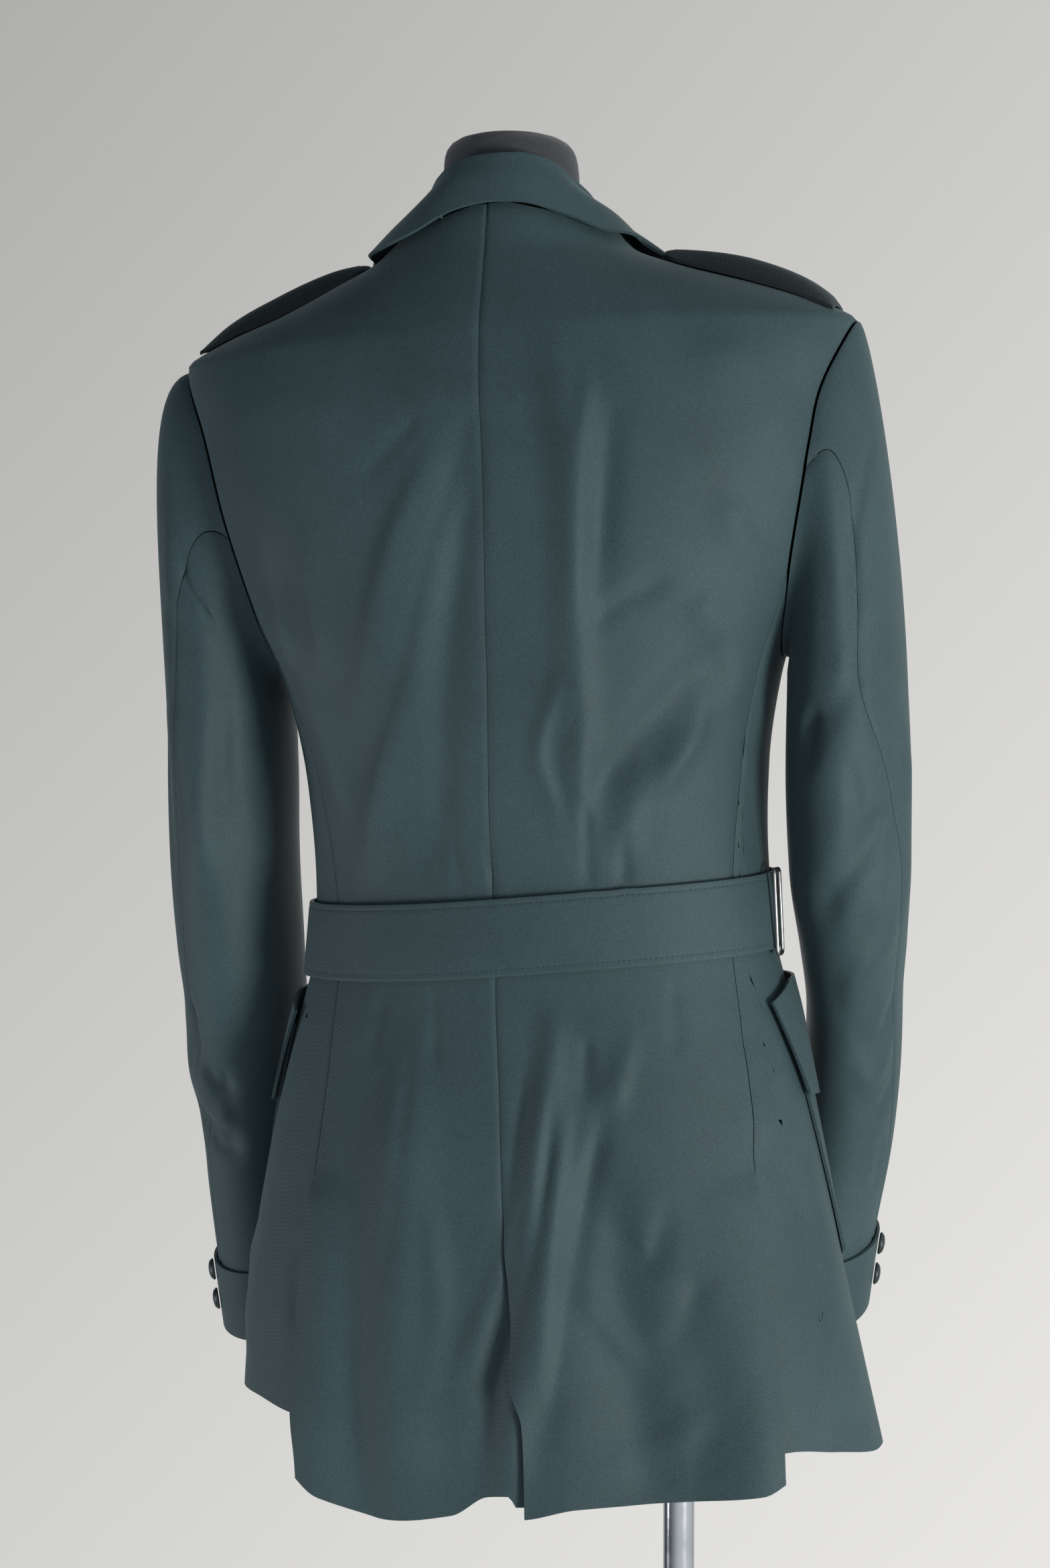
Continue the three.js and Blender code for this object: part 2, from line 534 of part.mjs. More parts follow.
// The collar: a stand that rises from the neck seam, a soft fold, and the fall outside it
function collarGeometry() {
  const profile = (angle) => {
    const column = (name) => readTable(COLLAR_ROWS, 'angle', name, angle);
    const direction = new THREE.Vector3(Math.sin(radians(angle)), Math.cos(radians(angle)), 0);
    const at = (radius, z) => direction.clone().multiplyScalar(radius).setZ(z);
    const flat = (point) => Math.hypot(point.x, point.y);
    const seam = column('seam');
    const fold = column('fold');
    const seamRadius = flat(bodyPoint(angle, seam));
    const foldRadius = column('foldRadius');
    const outerRadius = foldRadius + COLLAR.foldWidth;
    const fallEdge = onBody(angle, column('edge'), COLLAR.fallLift + WALL);
    const edgeRadius = flat(fallEdge);
    return new THREE.CatmullRomCurve3([
      at(seamRadius - 0.5, seam + COLLAR.seamLift),
      at((seamRadius + foldRadius) / 2 - 1.5, (seam + fold) / 2),
      at(foldRadius, fold - COLLAR.turnDrop),
      at(foldRadius + COLLAR.foldWidth / 2, fold),
      at(outerRadius, fold - COLLAR.turnDrop),
      at((outerRadius + edgeRadius) / 2, (fold + fallEdge.z) / 2 + 1),
      at(edgeRadius, fallEdge.z),
    ]);
  };
  const point = (angle, along) => profile(angle).getPoint(THREE.MathUtils.clamp(along, 0, 1));
  const end = COLLAR_ROWS[COLLAR_ROWS.length - 1].angle;
  const grid = evenly(COLLAR.alongSteps).map((along) => evenly(COLLAR.aroundSteps).map((u) => {
    const angle = THREE.MathUtils.lerp(-end, end, u);
    const outer = point(angle, along);
    const before = point(angle, along - 0.02);
    const after = point(angle, along + 0.02);
    const rise = after.sub(before);
    const across = new THREE.Vector3(Math.cos(radians(angle)), -Math.sin(radians(angle)), 0);
    const normal = across.clone().cross(rise).normalize();
    return { outer, inner: outer.clone().addScaledVector(normal, WALL) };
  }));
  return wallGeometry(grid, false);
}

// The belt lies round the waist over the lapped front
function beltCell(u, v) {
  const angle = 360 * u - 180;
  const level = WAIST_LEVEL - BELT.tilt * Math.sin(radians(angle));
  const lift = BELT.clearance + BELT.thickness + frontLap(Math.abs(angle));
  return { angle, z: level + BELT.height * (v - 0.5), lift };
}

// Sleeve rings below the head, by height
function sleeveRing(side, angle, z) {
  const column = (name) => readTable(SLEEVE_ROWS[side], 'z', name, z);
  const sign = side === 'left' ? 1 : -1;
  const turn = radians(angle);
  const folds = SLEEVE_FOLDS.filter((fold) => fold.side === side);
  const lift = folds.reduce((total, fold) => total + foldHeight(fold, angle, z, SLEEVE_FOLD_RADIUS), 0);
  const depth = (column('halfY') + lift) * Math.sin(turn);
  const across = (column('halfX') + lift) * Math.cos(turn);
  const higher = -depth * column('rise');
  return new THREE.Vector3(column('x') + sign * across, column('y') + depth, z + higher);
}

// The sleeve's seam on the body: the armhole's oval, by angle from its top towards the back
function armholePoint(side, angle) {
  const sign = side === 'left' ? 1 : -1;
  const z = ARMHOLE.middle + ARMHOLE.halfHeight * Math.cos(radians(angle));
  const turn = Math.sin(radians(angle));
  const depth = turn * (turn > 0 ? ARMHOLE.backDepth : ARMHOLE.frontDepth);
  return onBody(sign * angleAtDepth(depth, z, side), z, ARMHOLE.seamLift);
}

// The sleeve from the armhole (along = 0) over its head (to 1) and down to the cuff (to 2)
function sleevePoint(side, angle, along) {
  const sign = side === 'left' ? 1 : -1;
  if (along > 1) return sleeveRing(side, angle, sleeveHeight(along));
  const start = armholePoint(side, angle);
  const end = sleeveRing(side, angle, SLEEVE.headEnd);
  const sideways = Math.abs(end.x - start.x);
  const outerShare = Math.max(0, Math.cos(radians(angle)));
  const fullness = THREE.MathUtils.lerp(SLEEVE_HEAD.underarm, SLEEVE_HEAD.fullness[side], outerShare);
  const outwards = SLEEVE_HEAD.spread * sideways + fullness;
  const first = start.clone().add(new THREE.Vector3(sign * outwards, 0, 0));
  const second = end.clone().add(new THREE.Vector3(0, 0, SLEEVE_HEAD.drop * Math.max(0, start.z - end.z)));
  return new THREE.CubicBezierCurve3(start, first, second, end).getPoint(along);
}

const sleeveHeight = (along) => THREE.MathUtils.lerp(SLEEVE.headEnd, SLEEVE.cuffEnd, along - 1);

function onSleeve(side) {
  const sign = side === 'left' ? 1 : -1;
  const surface = (angle, along) => sleevePoint(side, angle, Math.max(0, along));
  return (angle, along, lift) => {
    const base = Math.max(along, 0.02);
    const normal = outward(surface, angle, base, 1, 0.01);
    return surface(angle, along).addScaledVector(normal, sign * lift);
  };
}

const SLEEVE_STEPS = [
  0, 0.08, 0.18, 0.3, 0.44, 0.6, 0.8, 1, 1.08, 1.16, 1.24,
  1.32, 1.4, 1.48, 1.56, 1.64, 1.72, 1.8, 1.88, 1.94, 2,
];

function sleeveCell(side, from, to) {
  return (u, along) => {
    const angle = THREE.MathUtils.lerp(from(along), to(along), side === 'left' ? u : 1 - u);
    return { angle, z: along, lift: 0 };
  };
}

function addSleeve(parent, side) {
  const place = onSleeve(side);
  const elbow = (along) => readTable(ELBOW_SEAM, 'along', side, along);
  const topStart = () => SLEEVE.frontSeam + SLEEVE.seamGap;
  const topEnd = (along) => elbow(along) - SLEEVE.seamGap;
  const underStart = (along) => elbow(along) + SLEEVE.seamGap;
  const underEnd = () => SLEEVE.frontSeam + 360 - SLEEVE.seamGap;
  const topCell = sleeveCell(side, topStart, topEnd);
  const underCell = sleeveCell(side, underStart, underEnd);
  const rows = SLEEVE_STEPS;
  const top = clothGeometry({ rows, columns: 10, cell: topCell, place });
  const under = clothGeometry({ rows, columns: 9, cell: underCell, place });
  addMesh(parent, `top_sleeve_${side}`, top, 'cloth');
  addMesh(parent, `under_sleeve_${side}`, under, 'cloth');
  const cuffStart = 1 + (SLEEVE.headEnd - SLEEVE.cuffTop) / (SLEEVE.headEnd - SLEEVE.cuffEnd);
  const cell = (u, v) => {
    const angle = side === 'left' ? 360 * u : -360 * u;
    return { angle, z: THREE.MathUtils.lerp(2, cuffStart, v), lift: CUFF_LIFT + WALL };
  };
  const cuff = clothGeometry({ rows: [1, 0.5, 0], columns: 32, cell, place, ring: true });
  addMesh(parent, `cuff_${side}`, cuff, 'cloth');
}

// The shoulder strap lies along the shoulder seam, arched across its width
function shoulderHeight(x, y) {
  let low = 1395;
  let high = NECK_BACK;
  for (let step = 0; step < 30; step += 1) {
    const z = (low + high) / 2;
    const angle = degrees(Math.atan2(x, y));
    if (bodyRadius(angle, z) > Math.hypot(x, y)) low = z;
    else high = z;
  }
  return low;
}

function strapGeometry(sign) {
  const rise = STRAP_RISE[sign > 0 ? 'left' : 'right'];
  const grid = evenly(10).map((v) => evenly(6).map((u) => {
    const side = sign > 0 ? 1 - u : u;
    const acrossStrap = 2 * side - 1;
    const tip = STRAP_TIP * (1 - Math.sqrt(Math.max(0, 1 - acrossStrap ** 2)));
    const x = THREE.MathUtils.lerp(STRAP.outerX, STRAP.innerX + tip, v);
    const half = THREE.MathUtils.lerp(STRAP.outerHalf, STRAP.innerHalf, v);
    const y = half * acrossStrap + STRAP.backset * (1 - v);
    const crown = rise * Math.sqrt(Math.sin(Math.PI * v)) * (1 - acrossStrap ** 2);
    const z = shoulderHeight(sign * x, y) + crown + STRAP.clearance + STRAP.thickness;
    const outer = new THREE.Vector3(sign * x, y, z);
    return { outer, inner: outer.clone().setZ(z - STRAP.thickness) };
  }));
  return wallGeometry(grid, false);
}

// A domed button on a short flat back
function buttonGeometry(diameter) {
  const radius = diameter / 2;
  const height = diameter * 0.28;
  const profile = [
    new THREE.Vector2(0, 0),
    new THREE.Vector2(radius, 0),
    new THREE.Vector2(radius, height * 0.35),
  ];
  for (let step = 1; step < 3; step += 1) {
    const turn = (Math.PI / 2) * (step / 3);
    profile.push(new THREE.Vector2(radius * Math.cos(turn), height * (0.35 + 0.65 * Math.sin(turn))));
  }
  profile.push(new THREE.Vector2(0, height));
  return new THREE.LatheGeometry(profile, 10);
}

function addButton(parent, name, diameter, point, normal) {
  const mesh = addMesh(parent, name, buttonGeometry(diameter), 'button');
  mesh.quaternion.setFromUnitVectors(new THREE.Vector3(0, 1, 0), normal);
  mesh.position.copy(point);
}

// A rectangular wire frame, bent from round wire, standing round the belt
function frameGeometry(width, height, wire) {
  const outline = new THREE.Shape();
  outline.moveTo(-width / 2, -height / 2);
  outline.lineTo(width / 2, -height / 2);
  outline.lineTo(width / 2, height / 2);
  outline.lineTo(-width / 2, height / 2);
  outline.closePath();
  const hole = new THREE.Path();
  hole.moveTo(-width / 2 + wire, -height / 2 + wire);
  hole.lineTo(-width / 2 + wire, height / 2 - wire);
  hole.lineTo(width / 2 - wire, height / 2 - wire);
  hole.lineTo(width / 2 - wire, -height / 2 + wire);
  hole.closePath();
  outline.holes.push(hole);
  return new THREE.ExtrudeGeometry(outline, { depth: wire, bevelEnabled: false });
}

function addBeltFrame(parent, name, angle, width) {
  const level = WAIST_LEVEL - BELT.tilt * Math.sin(radians(angle));
  const wire = 2.6;
  const lift = BELT.clearance + BELT.thickness + frontLap(Math.abs(angle));
  const mesh = addMesh(parent, name, frameGeometry(width, BELT.height + 8, wire), 'steel');
  const normal = outward(bodyPoint, angle, level, 0.5, 1).setZ(0).normalize();
  const reach = (share) => bodyRadius(angle, level + share * BELT.height) - bodyRadius(angle, level);
  const flare = Math.max(0, reach(-0.5), reach(0.5));
  mesh.position.copy(bodyPoint(angle, level)).addScaledVector(normal, lift + flare + BELT_FRAME_GAP);
  const up = new THREE.Vector3(0, 0, 1);
  const right = up.clone().cross(normal);
  mesh.quaternion.setFromRotationMatrix(new THREE.Matrix4().makeBasis(right, up, normal));
}

// A smooth capped solid through level rings
function loftGeometry(rings) {
  const count = rings[0].length;
  const positions = [];
  rings.flat().forEach((point) => positions.push(...point.toArray()));
  const centre = (ring) => ring.reduce((sum, p) => sum.add(p), new THREE.Vector3()).divideScalar(count);
  const bottom = rings.length * count;
  positions.push(...centre(rings[0]).toArray(), ...centre(rings[rings.length - 1]).toArray());
  const at = (row, column) => row * count + (column % count);
  const faces = [];
  for (let row = 0; row < rings.length - 1; row += 1) {
    for (let column = 0; column < count; column += 1) {
      faces.push(at(row, column), at(row + 1, column), at(row + 1, column + 1));
      faces.push(at(row, column), at(row + 1, column + 1), at(row, column + 1));
    }
  }
  for (let column = 0; column < count; column += 1) {
    faces.push(bottom, at(0, column), at(0, column + 1));
    faces.push(bottom + 1, at(rings.length - 1, column + 1), at(rings.length - 1, column));
  }
  const geometry = new THREE.BufferGeometry();
  geometry.setAttribute('position', new THREE.Float32BufferAttribute(positions, 3));
  geometry.setIndex(faces);
  geometry.computeVertexNormals();
  return geometry;
}

// How far the form's surface lies inside the outer face of the cloth, at each height
const FORM_INSET = [
  { z: 880, inset: 26 },
  { z: 960, inset: 18 },
  { z: 1043, inset: 9 },
  { z: 1140, inset: 13 },
  { z: 1250, inset: 16 },
  { z: 1340, inset: 16 },
  { z: 1400, inset: 11 },
  { z: 1413, inset: 8 },
  { z: 1426, inset: 4.4 },
  { z: 1440, inset: 2.9 },
];

const FORM_LEVELS = [
  880, 900, 940, 985, 1043, 1100, 1160, 1220, 1280, 1330, 1370, 1395, 1406, 1415, 1426, 1440,
];
const FORM_SIDES = 36;
const FORM_LEVEL_BELOW = 1380;

// A ring of the form's neck; level is how far it is turned back from the garment's lean
function neckRing(z, halfWidth, halfDepth, level) {
  return evenly(FORM_SIDES).slice(0, -1).map((u) => {
    const x = halfWidth * Math.sin(2 * Math.PI * u);
    const y = FORM.neckY + halfDepth * Math.cos(2 * Math.PI * u);
    return new THREE.Vector3(x, y, z + level * x * Math.tan(radians(LEAN_ANGLE)));
  });
}

function formTorsoGeometry() {
  const ringAt = (z) => evenly(FORM_SIDES).slice(0, -1).map((u) => {
    const angle = 360 * u;
    const frontInset = 5 * smooth(95, 125, Math.min(angle, 360 - angle)) * smooth(1395, 1426, z);
    const inset = readTable(FORM_INSET, 'z', 'inset', z) + frontInset;
    const armholeShare = smooth(1180, 1300, z) * (1 - smooth(1400, 1426, z));
    const narrower = 1 - 0.1 * armholeShare * Math.abs(Math.sin(radians(angle))) ** 3;
    const point = onBody(angle, z, -inset);
    return new THREE.Vector3(point.x * narrower, point.y, z < FORM_LEVEL_BELOW ? z : point.z);
  });
  const neck = [
    neckRing(1456, 86, 54, 0),
    neckRing(1470, 60, 50, 0.3),
    neckRing(1484, 48, 49, 0.7),
    neckRing(FORM.top, FORM.neckWidth + 1, FORM.neckDepth + 1, 1),
  ];
  return loftGeometry([...FORM_LEVELS.map(ringAt), ...neck]);
}

function formNeckGeometry() {
  const height = FORM.capTop - FORM.top - FORM.gap;
  const profile = [
    { share: 0, size: 1.01 },
    { share: 0.3, size: 0.99 },
    { share: 0.55, size: 0.985 },
    { share: 0.72, size: 0.95 },
    { share: 0.86, size: 0.82 },
    { share: 0.95, size: 0.55 },
    { share: 0.99, size: 0.22 },
  ];
  return loftGeometry(profile.map(({ share, size }) => (
    neckRing(FORM.top + FORM.gap + height * share, FORM.neckWidth * size, FORM.neckDepth * size, 1)
  )));
}

// Assembly: the garment and form lean together, the stand is upright
const uniform = new THREE.Group();
const leaning = new THREE.Group();
leaning.position.set(GARMENT_X, GARMENT_Y, HEM_LEVEL);
leaning.rotation.y = radians(LEAN_ANGLE);
uniform.add(leaning);
const garment = new THREE.Group();
garment.position.z = -HEM_LEVEL;
leaning.add(garment);

const BACK_ROWS = [...SKIRT_ROWS, ...TORSO_ROWS, ...SHOULDER_ROWS, ...NECK_ROWS];
const FRONT_ROWS = [...SKIRT_ROWS, ...TORSO_ROWS, ...SHOULDER_ROWS];
[['left', 1], ['right', -1]].forEach(([side, sign]) => {
  const piece = (name, rows, columns, cell) => {
    addMesh(garment, `${name}_${side}`, clothGeometry({ rows, columns, cell, place: onBody }), 'cloth');
  };
  piece('back', BACK_ROWS, 9, backCell(sign));
  piece('side', evenly(20), 7, sideCell(sign));
  piece('front', FRONT_ROWS, 8, frontCell(sign));
  piece('pocket', evenly(5), 10, pocketCell(sign));
  piece('pocket_flap', evenly(2), 12, flapCell(sign));
  piece('lapel', evenly(8), 3, lapelCell(sign));
  addMesh(garment, `shoulder_strap_${side}`, strapGeometry(sign), 'cloth');
  addSleeve(garment, side);
});
addMesh(garment, 'collar', collarGeometry(), 'cloth');
addMesh(garment, 'belt', clothGeometry({
  rows: [0, 1], columns: 72, cell: beltCell, place: onBody, wall: BELT.thickness, ring: true,
}), 'cloth');
addBeltFrame(garment, 'belt_buckle', 180, 40);
addBeltFrame(garment, 'belt_slide', -84, 12);

const FRONT_BUTTONS = { diameter: 22, levels: [1236, 1140, 950, 855] };
FRONT_BUTTONS.levels.forEach((z, i) => {
  const point = onBody(180, z, LAP + 0.4);
  const normal = outward(bodyPoint, 180, z, 0.5, 1);
  addButton(garment, `front_button_${i + 1}`, FRONT_BUTTONS.diameter, point, normal);
});
const CUFF_BUTTONS = {
  diameter: 15, along: [1.905, 1.955], angle: { left: 30, right: -4 }, lift: CUFF_LIFT + WALL + 0.65,
};
['left', 'right'].forEach((side) => {
  const sign = side === 'left' ? 1 : -1;
  CUFF_BUTTONS.along.forEach((along, i) => {
    const surface = (angle, at) => sleevePoint(side, angle, at);
    const angle = CUFF_BUTTONS.angle[side];
    const normal = outward(surface, angle, along, 1, 0.01).multiplyScalar(sign);
    const point = surface(angle, along).addScaledVector(normal, CUFF_BUTTONS.lift);
    addButton(garment, `cuff_button_${side}_${i + 1}`, CUFF_BUTTONS.diameter, point, normal);
  });
});

addMesh(garment, 'form_torso', formTorsoGeometry(), 'form');
addMesh(garment, 'form_neck', formNeckGeometry(), 'form');

// The flange under the form stands over the pole, which is upright on the Z axis
const lean = radians(LEAN_ANGLE);
const flangeBottom = FORM.bottom - FORM.gap - FLANGE.thickness;
const flangeX = -(GARMENT_X + (flangeBottom - HEM_LEVEL) * Math.sin(lean)) / Math.cos(lean);
const flangeShape = new THREE.CylinderGeometry(FLANGE.radius, FLANGE.radius, FLANGE.thickness, ROUND_SIDES);
const flange = addMesh(garment, 'stand_flange', flangeShape, 'steel');
flange.rotation.x = Math.PI / 2;
flange.position.set(flangeX, -GARMENT_Y, flangeBottom + FLANGE.thickness / 2);

const poleRadius = POLE_DIAMETER / 2;
const flangeLevel = HEM_LEVEL - flangeX * Math.sin(lean) + (flangeBottom - HEM_LEVEL) * Math.cos(lean);
const poleTop = flangeLevel - poleRadius * Math.sin(lean) - FORM.gap;
const poleBottom = BASE.hubTop + FORM.gap;
const poleShape = new THREE.CylinderGeometry(poleRadius, poleRadius, poleTop - poleBottom, ROUND_SIDES);
const pole = addMesh(uniform, 'stand_pole', poleShape, 'steel');
pole.rotation.x = Math.PI / 2;
pole.position.z = (poleTop + poleBottom) / 2;

const baseProfile = [
  [0, 0], [BASE.radius, 0], [BASE.radius, BASE.edge], [BASE.radius - 6, BASE.thickness],
  [BASE.hubRadius + 10, BASE.thickness + 1], [BASE.hubRadius, BASE.thickness + 8],
  [BASE.hubRadius - 8, BASE.hubTop], [0, BASE.hubTop],
].map(([radius, height]) => new THREE.Vector2(radius, height));
const base = addMesh(uniform, 'stand_base', new THREE.LatheGeometry(baseProfile, 40), 'steel');
base.rotation.x = Math.PI / 2;

export default uniform;
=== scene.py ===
"""A belted military dress tunic on a limbless dress form with a pole stand, seen from behind.

The garment is worked out in its own frame, in millimetres: z from the floor, the back at +y, angles
from the centre back and positive to the wearer's left. Every mesh is then placed in metres.
"""
import math

import bmesh
import bpy
import numpy as np
from mathutils import Matrix, Vector


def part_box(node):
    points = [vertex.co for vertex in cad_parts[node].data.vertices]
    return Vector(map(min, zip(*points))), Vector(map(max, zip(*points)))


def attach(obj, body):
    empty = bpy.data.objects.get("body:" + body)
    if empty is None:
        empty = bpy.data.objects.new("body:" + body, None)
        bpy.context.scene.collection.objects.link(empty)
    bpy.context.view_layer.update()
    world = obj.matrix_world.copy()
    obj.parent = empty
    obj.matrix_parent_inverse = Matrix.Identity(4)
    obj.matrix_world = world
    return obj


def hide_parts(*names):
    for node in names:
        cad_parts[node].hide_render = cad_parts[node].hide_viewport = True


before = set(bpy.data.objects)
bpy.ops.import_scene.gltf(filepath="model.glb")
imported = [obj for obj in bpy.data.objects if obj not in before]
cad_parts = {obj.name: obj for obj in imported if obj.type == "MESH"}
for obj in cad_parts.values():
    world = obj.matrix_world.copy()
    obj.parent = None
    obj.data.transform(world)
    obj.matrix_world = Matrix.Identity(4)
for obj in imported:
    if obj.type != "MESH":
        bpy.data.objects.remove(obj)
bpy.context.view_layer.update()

SIDE = {1: "left", -1: "right"}
WALL = 2.0
SEAM_GAP = 0.09
LAP = 3.1
VENT_LAP = 4.0
VENT_UNDERLAP = 9.0
PANEL_BOTTOM, HEM_BLEND_TOP = 680.0, 782.0
HEM_LEVEL = 715.0
WAIST = 1043.0
LEAN = math.radians(2.8)
GARMENT_X, GARMENT_Y = 64.0, 40.0
NECK_POINT = 1478.0
NECK_BACK = 1496.0
BREAK_POINT = 1262.0
VENT_TOP = 800.0
SIDE_VENT_TOP = 900.0
SIDE_FRONT_SEAM = 110.0
BELT_HEIGHT, BELT_THICKNESS, BELT_TILT, BELT_CLEARANCE = 48.0, 2.4, 4.5, 2.4
ARM_MIDDLE, ARM_HALF_HEIGHT, ARM_BACK_DEPTH, ARM_FRONT_DEPTH, ARM_GAP = 1310.0, 103.0, 53.0, 62.0, 0.4
ARM_LOW, ARM_HIGH = ARM_MIDDLE - ARM_HALF_HEIGHT, ARM_MIDDLE + ARM_HALF_HEIGHT
HEAD_END, CUFF_TOP, CUFF_END, FRONT_SEAM, CUFF_LIFT = 1195.0, 815.0, 766.0, -110.0, 1.05
BODY_FOLD_RADIUS, SLEEVE_FOLD_RADIUS, SLEEVE_GAP = 150.0, 52.0, 0.25
FORM_BOTTOM, FORM_NECK, CAP_TOP, CAP_GAP, CAP_WIDE, CAP_DEEP = 880.0, 1500.0, 1549.0, 0.3, 43.5, 47.0
STEP = 3.2


def table(columns, rows):
    """Named columns of a small table, as arrays."""
    return dict(zip(columns.split(), np.array(rows, float).T))


BODY = table("z left right back front middle power", [
    (680, 215, 211, 128, 84, 24, 2.3), (760, 208, 196, 122, 85, 21, 2.3), (830, 201, 183, 114, 87, 17, 2.3),
    (910, 186, 170, 105, 89, 12, 2.25), (980, 168, 158, 98, 91, 6, 2.2), (1043, 152, 146, 94, 93, 2, 2.2),
    (1090, 151, 145, 97, 95, 0, 2.2), (1140, 153, 148, 104, 99, 0, 2.2), (1195, 161, 158, 112, 104, 0, 2.3),
    (1250, 180, 178, 117, 107, 0, 2.5), (1310, 198, 195, 119, 107, 0, 2.6),
    (1365, 211, 205, 115, 100, 0, 2.45),
    (1413, 222, 217, 103, 86, 0, 2.2), (1426, 200, 196, 97, 79, 0, 2.1), (1440, 160, 158, 89, 71, 0, 2.1),
    (1455, 124, 111, 81, 63, 0, 2.1), (1470, 91, 77, 73, 56, 0, 2.1), (1497, 61, 59, 61, 50, 0, 2.1)])
HEM = table("angle back side", [
    (-190, 717, 704), (-120, 717, 706), (-87, 717, 712), (-72, 717, 723), (-62, 717, 729), (-55, 708, 729),
    (-38, 706, 729), (-17, 704, 729), (-2, 698, 729), (2, 711, 748), (8, 710, 748), (18, 698, 748),
    (34, 694, 748), (48, 704, 748), (58, 722, 749), (70, 722, 754), (98, 722, 744), (140, 722, 706),
    (190, 722, 704)])
CENTRE_SEAM = table("z angle", [
    (680, 0), (808, 0.5), (849, 3), (945, 5), (1012, 6.5), (1070, 6.5), (1208, 1.5), (1335, -0.5),
    (1394, 0), (1496, 2)])
SIDE_SEAM = table("z left right", [
    (680, 53, 59), (760, 56, 61), (830, 58, 62.5), (930, 60, 66), (1043, 63, 69.5), (1140, 66, 73.5),
    (1240, 75, 75)])
FRONT_EDGE = table("z angle", [
    (680, 187), (BREAK_POINT - 14, 187), (BREAK_POINT + 10, 180), (1320, 166), (1370, 153), (1420, 136),
    (1450, 118), (NECK_POINT - 3, 94)])
BACK_NECK = table("z angle", [
    (NECK_POINT, 90), (NECK_POINT + 5, 66), (NECK_POINT + 11, 38), (NECK_BACK, 12)])
COLLAR = table("angle seam fold radius edge", [
    (-134, 1442, 1456, 74, 1412), (-112, 1467, 1484, 61, 1449), (-88, 1481, 1500, 49.5, 1473),
    (-62, 1486, 1511, 48, 1472), (-40, 1491, 1521, 51, 1482), (-16, 1497, 1526, 53, 1492),
    (0, 1498, 1526, 54, 1493),
    (18, 1496, 1525, 54, 1490), (42, 1490, 1517, 52, 1477), (64, 1485, 1509, 49, 1470),
    (88, 1481, 1502, 49.5, 1470),
    (112, 1467, 1485, 61, 1449), (134, 1442, 1456, 74, 1412)])
COLLAR_FOLD, COLLAR_FALL_LIFT, COLLAR_TURN = 6.0, 4.0, 5.0
LAPEL = table("z turn edge", [
    (BREAK_POINT + 12, 180, 174), (1300, 172.5, 158), (1340, 162.5, 140), (1380, 151, 121), (1396, 146, 117)])
SLEEVES = {
    1: table("z x y wide deep rise", [
        (1195, 209, -2, 39, 65, 0), (1142, 212, -6, 40, 65, 0), (1096, 215, -10, 40, 63, 0.05),
        (1040, 218, -20, 40, 60, 0.1), (995, 220, -30, 39, 57, 0.15), (950, 225, -44, 39, 55, 0.2),
        (905, 224, -58, 38, 53, 0.2), (870, 226, -68, 38, 52, 0.2), (815, 228, -81, 37, 50, 0.2),
        (760, 227, -91, 37, 49, 0.2)]),
    -1: table("z x y wide deep rise", [
        (1195, -201, -2, 37, 64, 0), (1126, -198, -8, 39, 65, 0), (1069, -195, -20, 38, 62, 0.05),
        (1023, -193, -38, 34, 58, 0.12), (983, -189, -62, 31, 55, 0.2), (940, -183, -82, 32, 52, 0.25),
        (904, -176, -98, 33, 50, 0.25), (870, -168, -109, 34, 49, 0.25), (815, -153, -120, 35, 48, 0.25),
        (760, -141, -128, 36, 47, 0.25)])}
HEAD_SPREAD, HEAD_FULLNESS, HEAD_UNDERARM, HEAD_DROP = 0.6, {1: 20.0, -1: -6.0}, 6.0, 0.5
ELBOW_SEAM = table("along left right", [
    (0, 96, 84), (0.6, 76, 58), (1, 66, 66), (1.15, 62, 40), (1.3, 58, 22), (1.5, 52, 24), (1.86, 44, 10),
    (2, 42, 7)])
FORM_INSET = table("z inset", [
    (880, 26), (960, 18), (1043, 9), (1140, 13), (1250, 16), (1340, 16), (1400, 11), (1413, 8), (1426, 4.4),
    (1440, 2.9)])

# The largest folds, which the solids have too: angle and z of both ends, width and height
LARGE_FOLDS = [
    (-24, 1385, -26, 1110, 13, 6), (12, 1330, 50, 1085, 20, 7), (3, 1340, 26, 1090, 15, -5),
    (62, 1250, 55, 1120, 13, 5), (-62, 1215, -30, 1125, 14, -6), (-58, 1165, -36, 1095, 12, 5),
    (-14, 985, 2, 720, 14, 8), (-9, 975, 9, 740, 12, -5), (36, 960, 30, 690, 22, 10),
    (-30, 900, -36, 700, 20, -7), (150, 960, 146, 700, 20, 6), (-150, 960, -148, 700, 20, 6),
    (138, 1240, 150, 1090, 16, 4), (-138, 1240, -150, 1090, 16, 4)]
